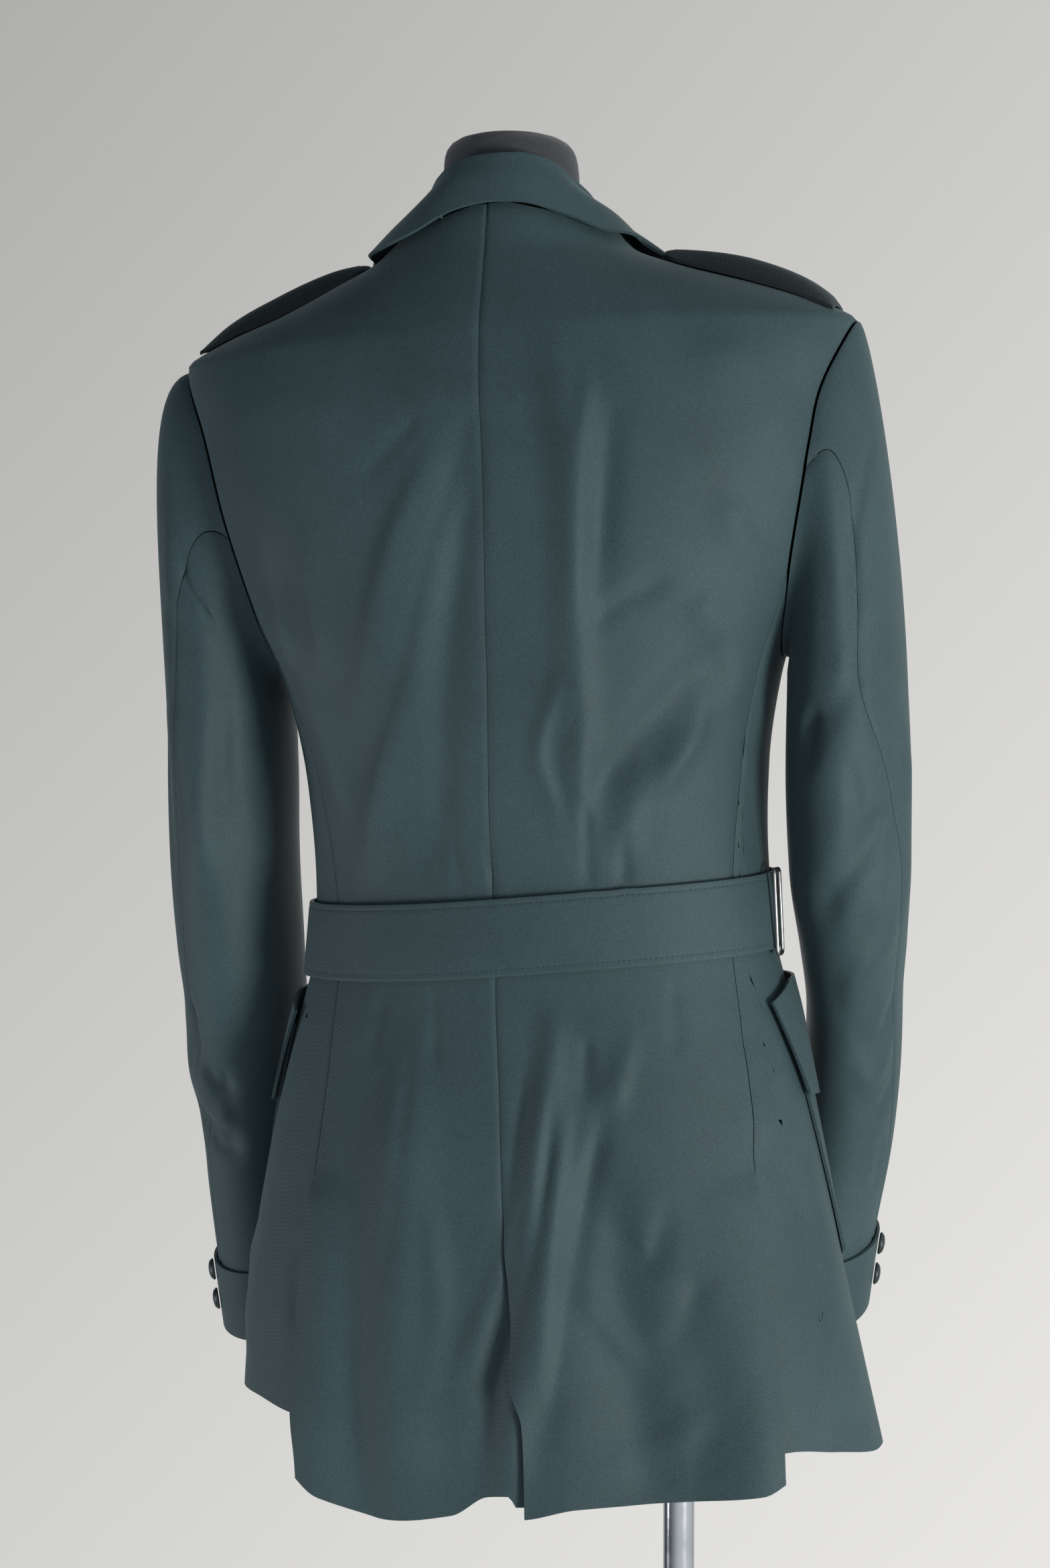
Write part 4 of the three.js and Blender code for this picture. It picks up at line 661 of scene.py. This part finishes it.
def sleeve(sign):
    side = SIDE[sign]
    along = np.concatenate([np.linspace(0, 1, 64), np.linspace(1, 2, 136)[1:]])[:, None]
    elbow = read(ELBOW_SEAM, side, along, "along")
    u = np.linspace(0, 1, 56)[None, :]
    top = ("top_sleeve", FRONT_SEAM + SLEEVE_GAP, elbow - SLEEVE_GAP)
    under = ("under_sleeve", elbow + SLEEVE_GAP, FRONT_SEAM + 360 - SLEEVE_GAP)
    for name, start, end in (top, under):
        angle = start + (end - start) * u + 0 * along
        lift = seam_groove(np.minimum(angle - start, end - angle), 0.8, 2.0)
        outer, normal = on_sleeve(sign, angle, along + 0 * u, lift)
        cloth(f"{name}_{side}", outer, normal, flip=sign < 0)
    cuff_start = 1 + (HEAD_END - CUFF_TOP) / (HEAD_END - CUFF_END)
    along, angle = np.meshgrid(np.linspace(2, cuff_start, 16), np.linspace(0, 360, 120, endpoint=False),
                               indexing="ij")
    outer, normal = on_sleeve(sign, angle, along, CUFF_LIFT + WALL + 0 * angle)
    cloth(f"cuff_{side}", outer, normal, ring=True, flip=sign > 0)


sleeve(1)
sleeve(-1)


# Collar, lapels, pockets, flaps, straps and belt
def smooth_path(points, count):
    """A centripetal Catmull-Rom curve through points of shape (n, columns, 3), evenly along its length."""
    points = np.concatenate([2 * points[:1] - points[1:2], points, 2 * points[-1:] - points[-2:-1]])
    out = []
    for i in range(1, len(points) - 2):
        p0, p1, p2, p3 = points[i - 1:i + 3]
        knots = [0 * p0[..., :1]]
        for a, b in ((p0, p1), (p1, p2), (p2, p3)):
            knots.append(knots[-1] + np.sqrt(np.linalg.norm(b - a, axis=-1, keepdims=True)))
        t0, t1, t2, t3 = knots
        for s in np.linspace(0, 1, 12, endpoint=i == len(points) - 3):
            t = t1 + (t2 - t1) * s
            a1 = (t1 - t) / (t1 - t0) * p0 + (t - t0) / (t1 - t0) * p1
            a2 = (t2 - t) / (t2 - t1) * p1 + (t - t1) / (t2 - t1) * p2
            a3 = (t3 - t) / (t3 - t2) * p2 + (t - t2) / (t3 - t2) * p3
            b1 = (t2 - t) / (t2 - t0) * a1 + (t - t0) / (t2 - t0) * a2
            b2 = (t3 - t) / (t3 - t1) * a2 + (t - t1) / (t3 - t1) * a3
            out.append((t2 - t) / (t2 - t1) * b1 + (t - t1) / (t2 - t1) * b2)
    path = np.array(out)
    lengths = np.concatenate([[0], np.cumsum(np.linalg.norm(np.diff(path, axis=0), axis=-1).mean(axis=1))])
    picks = np.interp(np.linspace(0, lengths[-1], count), lengths, np.arange(len(path)))
    low = np.floor(picks).astype(int).clip(0, len(path) - 2)
    share = (picks - low)[:, None, None]
    return path[low] * (1 - share) + path[low + 1] * share


def collar():
    limit = COLLAR["angle"][-1]
    angle = np.linspace(-limit, limit, 170)
    part = {name: read(COLLAR, name, angle, "angle") for name in ("seam", "fold", "radius", "edge")}
    direction = np.stack([np.sin(np.radians(angle)), np.cos(np.radians(angle)), 0 * angle], axis=-1)

    def at(radius, z):
        point = direction * np.asarray(radius)[..., None]
        point[..., 2] = z
        return point

    seam_point = body_point(angle, part["seam"])
    seam_radius = np.hypot(seam_point[..., 0], seam_point[..., 1])
    fall, _ = on_body(angle, part["edge"], COLLAR_FALL_LIFT + WALL)
    edge_radius = np.hypot(fall[..., 0], fall[..., 1])
    fold, radius, seam = part["fold"], part["radius"], part["seam"]
    outer = radius + COLLAR_FOLD
    path = smooth_path(np.array([
        at(seam_radius - 0.5, seam + 0.1), at((seam_radius + radius) / 2 - 1.5, (seam + fold) / 2),
        at(radius, fold - COLLAR_TURN), at(radius + COLLAR_FOLD / 2, fold), at(outer, fold - COLLAR_TURN),
        at((outer + edge_radius) / 2, (fold + fall[..., 2]) / 2 + 1), at(edge_radius, fall[..., 2])]), 56)
    rise = np.gradient(path, axis=0)
    across = np.stack([np.cos(np.radians(angle)), -np.sin(np.radians(angle)), 0 * angle], axis=-1)
    inward = np.cross(np.broadcast_to(across, path.shape), rise)
    inward /= np.linalg.norm(inward, axis=-1, keepdims=True)
    cloth("collar", path, -inward)
    stitches("collar_stitching", path[-8], -inward[-8])


def lapel(sign):
    z = np.linspace(LAPEL["z"][0], LAPEL["z"][-1], 44)[:, None]
    u = np.linspace(0, 1, 26)[None, :]
    turn, edge = read(LAPEL, "turn", z) - 1, read(LAPEL, "edge", z)
    angle = edge + (turn - edge) * u
    lift = 1 + WALL + front_lap(angle) + 5 * np.sin(np.pi * np.minimum(1, u * 1.1))
    outer, normal = on_body(sign * angle, z + 0 * u, lift)
    cloth("lapel_" + SIDE[sign], outer, normal, flip=sign < 0)


POCKET_BACK, POCKET_FRONT, POCKET_SLANT, POCKET_LIFT = 82.0, 130.0, 12.0, 1.0
POCKET_BOTTOM, POCKET_TOP, POCKET_ROUNDING = 822.0, 982.0, 10.0
FLAP_BACK, FLAP_FRONT, FLAP_SLANT, FLAP_BOTTOM, FLAP_TOP = 76.0, 131.0, 8.5, 928.0, 1003.0
FLAP_CORNER, FLAP_POINT, FLAP_LIFT = 11.0, 8.0, 4.2


def pocket(sign):
    side = SIDE[sign]
    u, v = np.linspace(0, 1, 44)[None, :], np.linspace(0, 1, 50)[:, None]
    angle = POCKET_BACK + (POCKET_FRONT - POCKET_BACK) * u + POCKET_SLANT * (1 - v) * (1 - u)
    bottom = POCKET_BOTTOM + POCKET_ROUNDING * np.abs(2 * u - 1) ** 6
    outer, normal = on_body(sign * angle, bottom + (POCKET_TOP - bottom) * v, POCKET_LIFT + WALL + 0 * angle)
    cloth(f"pocket_{side}", outer, normal, flip=sign < 0)
    angle = FLAP_BACK + (FLAP_FRONT - FLAP_BACK) * u + FLAP_SLANT * (1 - v) * (1 - u)
    bottom = FLAP_BOTTOM - FLAP_POINT * (1 - np.abs(2 * u - 1)) + FLAP_POINT / 2
    from_side = np.minimum(u, 1 - u) * (FLAP_FRONT - FLAP_BACK)
    top = FLAP_TOP - FLAP_CORNER * (1 - np.minimum(1, from_side / FLAP_CORNER))
    outer, normal = on_body(sign * angle, bottom + (top - bottom) * v, FLAP_LIFT + WALL + 0 * angle)
    cloth(f"pocket_flap_{side}", outer, normal, flip=sign < 0)
    stitches(f"flap_stitching_{side}", np.vstack([outer[46:4:-1, 3], outer[4, 3:41], outer[4:46, 40]]),
             np.vstack([normal[46:4:-1, 3], normal[4, 3:41], normal[4:46, 40]]))


STRAP_INNER, STRAP_OUTER, STRAP_INNER_HALF, STRAP_OUTER_HALF = 96.0, 206.0, 19.0, 25.0
STRAP_THICKNESS, STRAP_CLEARANCE, STRAP_BACKSET, STRAP_TIP = 2.4, 1.1, 8.0, 10.0
STRAP_RISE = {1: 14.0, -1: 12.0}


def stitches(name, path, normal, length=2.4, gap=0.9, radius=0.3):
    """A row of stitches along a path on the cloth: short rods lying on its surface, as one mesh."""
    steps = np.linalg.norm(np.diff(path, axis=0), axis=1)
    at = np.concatenate([[0], np.cumsum(steps)])
    starts = np.arange(0.5, at[-1] - length, length + gap)

    def between_points(values, s):
        return np.stack([np.interp(s, at, values[:, k]) for k in range(3)], axis=-1)

    facing_out = between_points(normal, starts + length / 2)
    facing_out /= np.linalg.norm(facing_out, axis=1, keepdims=True)
    first, last = between_points(path, starts), between_points(path, starts + length)
    ahead = last - first
    ahead /= np.linalg.norm(ahead, axis=1, keepdims=True)
    side = np.cross(ahead, facing_out)
    vertices, faces = [], []
    for i in range(len(starts)):
        base = len(vertices)
        for share, size in ((0, 0.35), (0.25, 1), (0.75, 1), (1, 0.35)):
            middle = first[i] + (last[i] - first[i]) * share + facing_out[i] * radius * (size - 0.7)
            for a, b in ((1, 0), (0, 1), (-1, 0), (0, -1)):
                vertices.append(middle + (side[i] * a + facing_out[i] * b) * radius * size)
        for ring in range(3):
            for c in range(4):
                d = (c + 1) % 4
                low, high = base + 4 * ring, base + 4 * ring + 4
                faces.append((low + c, low + d, high + d, high + c))
        faces += [(base + 3, base + 2, base + 1, base), (base + 12, base + 13, base + 14, base + 15)]
    new_piece(name, np.array(vertices), faces, THREAD, "uniform_cloth")


def shoulder_height(x, y):
    """The height of the shoulder's surface at a place."""
    low, high = np.full(x.shape, 1395.0), np.full(x.shape, NECK_BACK)
    for _ in range(28):
        z = (low + high) / 2
        inside = body_radius(np.degrees(np.arctan2(x, y)), z) > np.hypot(x, y)
        low, high = np.where(inside, z, low), np.where(inside, high, z)
    return low


def strap_surface(sign, v, u):
    """The strap's upper face: v from the shoulder's end to the neck, u across it."""
    across = 2 * u - 1
    tip = STRAP_TIP * (1 - np.sqrt(np.maximum(0, 1 - across ** 2)))
    x = STRAP_OUTER + (STRAP_INNER + tip - STRAP_OUTER) * v
    y = (STRAP_OUTER_HALF + (STRAP_INNER_HALF - STRAP_OUTER_HALF) * v) * across + STRAP_BACKSET * (1 - v)
    crown = STRAP_RISE[sign] * np.sqrt(np.maximum(0, np.sin(np.pi * v))) * (1 - across ** 2)
    z = shoulder_height(sign * x, y) + crown + STRAP_CLEARANCE + STRAP_THICKNESS
    return np.stack([sign * x, y, z], axis=-1)


def strap(sign):
    side = SIDE[sign]
    v, u = np.meshgrid(np.linspace(0, 1, 46), np.linspace(0, 1, 22), indexing="ij")
    outer = strap_surface(sign, v, u)
    up = np.array([0.0, 0.0, 1.0])
    along, across = np.linspace(0.02, 0.92, 60), np.linspace(0.1, 0.9, 20)
    rim_v = np.concatenate([along, np.full(20, 0.92), along[::-1]])
    rim_u = np.concatenate([np.full(60, 0.1), across, np.full(60, 0.9)])
    line = strap_surface(sign, rim_v, rim_u)
    stitches(f"strap_stitching_{side}", line, np.broadcast_to(up, line.shape))
    # The strap wears the darker cloth, whose colour also carries painted shade
    cloth(f"shoulder_strap_{side}", outer, np.broadcast_to(up, outer.shape), wall=STRAP_THICKNESS,
          flip=sign > 0, material=DARK_STRAP_CLOTH_WITH_PAINTED_SHADE)


def belt_level(angle):
    return WAIST - BELT_TILT * np.sin(np.radians(angle))


def belt():
    angle = np.linspace(-180, 180, 260, endpoint=False)[None, :]
    v = np.linspace(0, 1, 49)[:, None]
    lift = BELT_CLEARANCE + BELT_THICKNESS + front_lap(np.abs(angle)) + 0 * v
    # The belt is straight from edge to edge, where the waist under it is hollow
    (low, low_out), (high, high_out) = [
        on_body(angle, belt_level(angle) + BELT_HEIGHT * (share - 0.5), lift[:1]) for share in (0, 1)]
    share = v[..., None]
    outer = low * (1 - share) + high * share
    normal = low_out * (1 - share) + high_out * share
    from_edge = BELT_HEIGHT * np.minimum(v, 1 - v)
    pressed = -0.35 * np.exp(-((from_edge - 3.5) / 1.0) ** 2) - 0.3 * np.exp(-(from_edge / 1.0) ** 2)
    outer = outer + normal * pressed[..., None]
    cloth("belt", outer, normal, wall=BELT_THICKNESS, ring=True)
    for name, row in (("lower", 4), ("upper", 44)):
        line, out = (np.vstack([grid[row], grid[row, :1]]) for grid in (outer, normal))
        stitches("belt_stitching_" + name, line, out)


collar()
belt()
for sign in (1, -1):
    lapel(sign)
    pocket(sign)
    strap(sign)


# The form under the cloth
def loft(name, node, rings):
    """A closed piece of the form through rings of points."""
    rows, count = rings.shape[:2]
    centres = np.array([rings[0].mean(axis=0), rings[-1].mean(axis=0)])
    vertices = np.concatenate([rings.reshape(-1, 3), centres])
    bottom, top = rows * count, (rows - 1) * count
    faces = []
    for row in range(rows - 1):
        for c in range(count):
            d = (c + 1) % count
            faces.append((row * count + c, (row + 1) * count + c, (row + 1) * count + d, row * count + d))
    for c in range(count):
        d = (c + 1) % count
        faces += [(bottom, c, d), (bottom + 1, top + d, top + c)]
    new_piece(name, vertices, faces, FORM_COVER, "form_cover", node, sharp=50)


def form():
    levels = dense([FORM_BOTTOM, 1440], 6)[:, None]
    angle = np.linspace(0, 360, 120, endpoint=False)[None, :]
    front = 5 * smooth(95, 125, np.minimum(angle, 360 - angle)) * smooth(1395, 1426, levels)
    inset = read(FORM_INSET, "inset", levels) + front
    chest = smooth(1180, 1300, levels) * (1 - smooth(1400, 1426, levels))
    narrow = 1 - 0.1 * chest * np.abs(np.sin(np.radians(angle))) ** 3
    rings, _ = on_body(angle + 0 * levels, levels + 0 * angle, -inset)
    rings[..., 0] *= narrow
    rings[..., 2] = np.where(levels < 1380, levels, rings[..., 2])
    turn = np.radians(angle[0])

    def neck_ring(z, wide, deep, level):
        x = wide * np.sin(turn)
        return np.stack([x, 2 + deep * np.cos(turn), z + level * math.tan(LEAN) * x], axis=-1)

    neck = [neck_ring(1456, 86, 54, 0), neck_ring(1470, 60, 50, 0.3), neck_ring(1484, 48, 49, 0.7),
            neck_ring(FORM_NECK, 44.5, 48, 1)]
    loft("form_torso_cover", "form_torso", np.concatenate([rings, np.array(neck)]))
    shares = [(0, 1.01), (0.15, 1.0), (0.3, 0.99), (0.45, 0.99), (0.58, 0.98), (0.68, 0.962), (0.76, 0.93),
              (0.84, 0.86), (0.9, 0.75), (0.94, 0.6), (0.97, 0.42), (0.99, 0.2)]
    low = FORM_NECK + CAP_GAP
    rings = [neck_ring(low + (CAP_TOP - low) * share, CAP_WIDE * size, CAP_DEEP * size, 1)
             for share, size in shares]
    loft("form_neck_cover", "form_neck", np.array(rings))


form()


# Buttons, the belt's wire frames and the stand
def lathe(name, node, profile, count, matrix, material):
    """A closed round solid about its own z axis from (radius, height) pairs that start and end on it."""
    bm = bmesh.new()
    rings = []
    for radius, height in profile:
        if radius == 0:
            rings.append([bm.verts.new((0, 0, height))])
        else:
            turns = [2 * math.pi * i / count for i in range(count)]
            rings.append([bm.verts.new((radius * math.cos(a), radius * math.sin(a), height)) for a in turns])
    for low, high in zip(rings, rings[1:]):
        for i in range(count):
            j = (i + 1) % count
            corners = [low[i % len(low)], low[j % len(low)], high[j % len(high)], high[i % len(high)]]
            bm.faces.new(list(dict.fromkeys(corners)))
    bm.transform(matrix)
    bmesh.ops.recalc_face_normals(bm, faces=bm.faces)
    mesh = bpy.data.meshes.new(name)
    bm.to_mesh(mesh)
    bm.free()
    finish_piece(name, mesh, material, (node,), 35)


def facing(point, normal):
    """The matrix that stands a piece on a point of the garment, along a direction, in metres."""
    tip = to_world(np.array([point, point + normal]))
    z = Vector(tip[1] - tip[0]).normalized()
    x = Vector((0, 0, 1)).cross(z).normalized() if abs(z.z) < 0.95 else Vector((1, 0, 0))
    y = z.cross(x)
    matrix = Matrix((x, y, z)).transposed().to_4x4()
    matrix.translation = Vector(tip[0])
    return matrix


def button(node, diameter, point, normal):
    radius, height = diameter / 2000, diameter * 0.28 / 1000
    profile = [(0, 0), (radius * 0.9, 0), (radius, height * 0.15), (radius, height * 0.32),
               (radius * 0.955, height * 0.42), (radius * 0.9, height * 0.4)]
    profile += [(radius * 0.9 * math.cos(t), height * (0.4 + 0.6 * math.sin(t)))
                for t in np.linspace(0.15, 1.4, 7)]
    lathe("button_" + node, node, profile + [(0, height)], 32, facing(point, normal), BUTTON)


BUTTON_LIFT, CUFF_BUTTON_LIFT = 0.4, 0.65
for index, level in enumerate((1236.0, 1140.0, 950.0, 855.0)):
    point, normal = on_body(np.array(180.0), np.array(level), np.array(LAP + BUTTON_LIFT))
    button(f"front_button_{index + 1}", 22, point, normal)
for sign, turned in ((1, 30.0), (-1, -4.0)):
    for index, along in enumerate((1.905, 1.955)):
        lift = np.array(CUFF_LIFT + WALL + CUFF_BUTTON_LIFT)
        point, normal = on_sleeve(sign, np.array(turned), np.array(along), lift)
        button(f"cuff_button_{SIDE[sign]}_{index + 1}", 15, point, normal)


FRAME_GAP, WIRE_RADIUS, FRAME_CORNER, FRAME_MARGIN = 0.8, 1.3, 3.0, 4.0


def wire_frame(node, angle, width):
    """A rectangular frame of bent wire standing round the belt."""
    level = float(belt_level(angle))
    reach = [float(body_radius(angle, level + share * BELT_HEIGHT)) for share in (-0.5, 0, 0.5)]
    lift = BELT_CLEARANCE + BELT_THICKNESS + float(front_lap(abs(angle))) + max(0, max(reach) - reach[1])
    angle, level = np.array(float(angle)), np.array(level)
    normal = outward(body_point, angle, level, 0.5, 1.0)
    normal[2] = 0
    normal /= np.linalg.norm(normal)
    right = np.cross([0, 0, 1.0], normal)
    centre = body_point(angle, level) + normal * (lift + FRAME_GAP + WIRE_RADIUS)
    wide = width / 2 - WIRE_RADIUS - FRAME_CORNER
    high = BELT_HEIGHT / 2 + FRAME_MARGIN - WIRE_RADIUS - FRAME_CORNER
    path = []
    for cx, cz, start in ((1, 1, 0), (-1, 1, 90), (-1, -1, 180), (1, -1, 270)):
        for turn in np.radians(start + np.linspace(0, 90, 7)):
            a, b = cx * wide + FRAME_CORNER * math.cos(turn), cz * high + FRAME_CORNER * math.sin(turn)
            path.append(centre + right * a + np.array([0, 0, b]))
    closed_tube(f"frame_{node}", node, np.array(path), WIRE_RADIUS)


def closed_tube(name, node, path, radius, sides=10):
    """A round wire along a closed path of the garment's frame."""
    count = len(path)
    ahead = np.roll(path, -1, axis=0) - np.roll(path, 1, axis=0)
    ahead /= np.linalg.norm(ahead, axis=1, keepdims=True)
    side = np.cross(ahead, np.cross(ahead.mean(axis=0) + [0.013, 0.5, 0.017], ahead))
    side /= np.linalg.norm(side, axis=1, keepdims=True)
    turn = np.linspace(0, 2 * math.pi, sides, endpoint=False)[None, :, None]
    other = np.cross(ahead, side)
    rings = path[:, None] + radius * (np.cos(turn) * side[:, None] + np.sin(turn) * other[:, None])
    faces = []
    for row in range(count):
        for c in range(sides):
            d, up = (c + 1) % sides, (row + 1) % count
            faces.append((row * sides + c, row * sides + d, up * sides + d, up * sides + c))
    new_piece(name, rings.reshape(-1, 3), faces, WIRE, "buckle_metal", node)


wire_frame("belt_buckle", 180, 40)
wire_frame("belt_slide", -84, 12)


def stand():
    low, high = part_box("stand_pole")
    radius = (high[0] - low[0]) / 2
    profile = [(0, low[2]), (radius, low[2]), (radius, high[2]), (0, high[2])]
    lathe("pole", "stand_pole", profile, 64, Matrix(), STEEL)
    low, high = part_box("stand_base")
    outer, top = (high[0] - low[0]) / 2, high[2]
    profile = [(0, 0), (outer, 0), (outer, 0.004), (outer - 0.002, 0.0062), (outer - 0.006, 0.0078),
               (0.034, 0.009), (0.028, 0.0115), (0.024, 0.016), (0.020, 0.030), (0.0165, top - 0.001),
               (0.0155, top), (0, top)]
    lathe("base", "stand_base", profile, 128, Matrix(), STEEL)
    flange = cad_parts["stand_flange"]
    flange.data.materials.clear()
    flange.data.materials.append(STEEL)


stand()


# The room: a pale floor, soft lights and the camera of the photograph
def area_light(name, place, aim, size, power, colour):
    data = bpy.data.lights.new(name, "AREA")
    data.shape = "DISK"
    data.size = size
    data.energy = power
    data.color = colour
    lamp = bpy.data.objects.new(name, data)
    lamp.location = place
    lamp.rotation_euler = (Vector(aim) - Vector(place)).to_track_quat("-Z", "Y").to_euler()
    bpy.context.scene.collection.objects.link(lamp)


def room():
    material, tree, shader = new_material("pale_floor")
    pale = ramp(tree, noise(tree, Scale=2), (0.60, 0.60, 0.60), (0.66, 0.66, 0.66))
    feed(shader, {"Base Color": pale, "Roughness": 0.7})
    bpy.ops.mesh.primitive_circle_add(vertices=96, radius=1.35, fill_type="NGON",
                                      location=(0.06, 0.02, -0.0005))
    floor = bpy.context.object
    floor.name = "floor"
    floor.data.materials.append(material)
    world = bpy.data.worlds.new("soft_room")
    world.use_nodes = True
    bpy.context.scene.world = world
    tree = world.node_tree
    toward = add(tree, "TexCoord", {}).outputs["Generated"]

    def share_of(direction, low, high, kind="SMOOTHSTEP"):
        """How far a direction of the room is towards the given one, from 0 to 1."""
        dot = add(tree, "VectorMath", {0: toward, 1: Vector(direction).normalized()})
        dot.operation = "DOT_PRODUCT"
        spread = add(tree, "MapRange", {"Value": dot.outputs["Value"], "From Min": low, "From Max": high})
        spread.interpolation_type = kind
        return spread.outputs["Result"]

    walls = mix(tree, share_of((-0.9, 0.5, -0.2), -0.6, 1), (0.05, 0.065, 0.085, 1), (0.62, 0.66, 0.70, 1))
    falling = share_of((-0.739, 0, -0.673), -0.6, 0.25, "LINEAR")
    wall = mix(tree, falling, (0.34, 0.34, 0.335, 1), (0.85, 0.84, 0.815, 1))
    behind = mix(tree, share_of((0.24, -0.97, -0.05), 0.5, 0.85), walls, wall)
    feed(tree.nodes["Background"], {"Color": behind, "Strength": 1})
    area_light("key", (-2.1, 1.55, 0.6), (0.06, 0.05, 0.9), 0.8, 60, (1, 0.99, 0.97))
    area_light("low", (2.0, 0.6, 0.4), (0.2, 0.05, 0.8), 0.7, 14, (1, 1, 1))
    area_light("front", (0.9, -2.6, 1.0), (0.06, 0, 1.05), 1.6, 14, (1, 1, 1))


YAW, PITCH = math.radians(14), math.radians(3)
FOCAL_PIXELS, IMAGE_HEIGHT = 4120.0, 2342.0
CAMERA_BACK, POLE_TO_THE_RIGHT, CAMERA_HEIGHT = 1.800, 0.102, 1.225


def camera():
    ahead = Vector((math.sin(YAW), -math.cos(YAW), 0))
    right = Vector((-math.cos(YAW), -math.sin(YAW), 0))
    place = -ahead * CAMERA_BACK - right * POLE_TO_THE_RIGHT + Vector((0, 0, CAMERA_HEIGHT))
    look = ahead * math.cos(PITCH) - Vector((0, 0, math.sin(PITCH)))
    up = right.cross(look)
    data = bpy.data.cameras.new("photo_camera")
    data.sensor_fit = "VERTICAL"
    data.sensor_height = 36
    data.lens = 36 * FOCAL_PIXELS / IMAGE_HEIGHT
    eye = bpy.data.objects.new("photo_camera", data)
    matrix = Matrix((right, up, -look)).transposed().to_4x4()
    matrix.translation = place
    eye.matrix_world = matrix
    bpy.context.scene.collection.objects.link(eye)
    bpy.context.scene.camera = eye


room()
camera()
bpy.context.scene.view_settings.view_transform = "Standard"
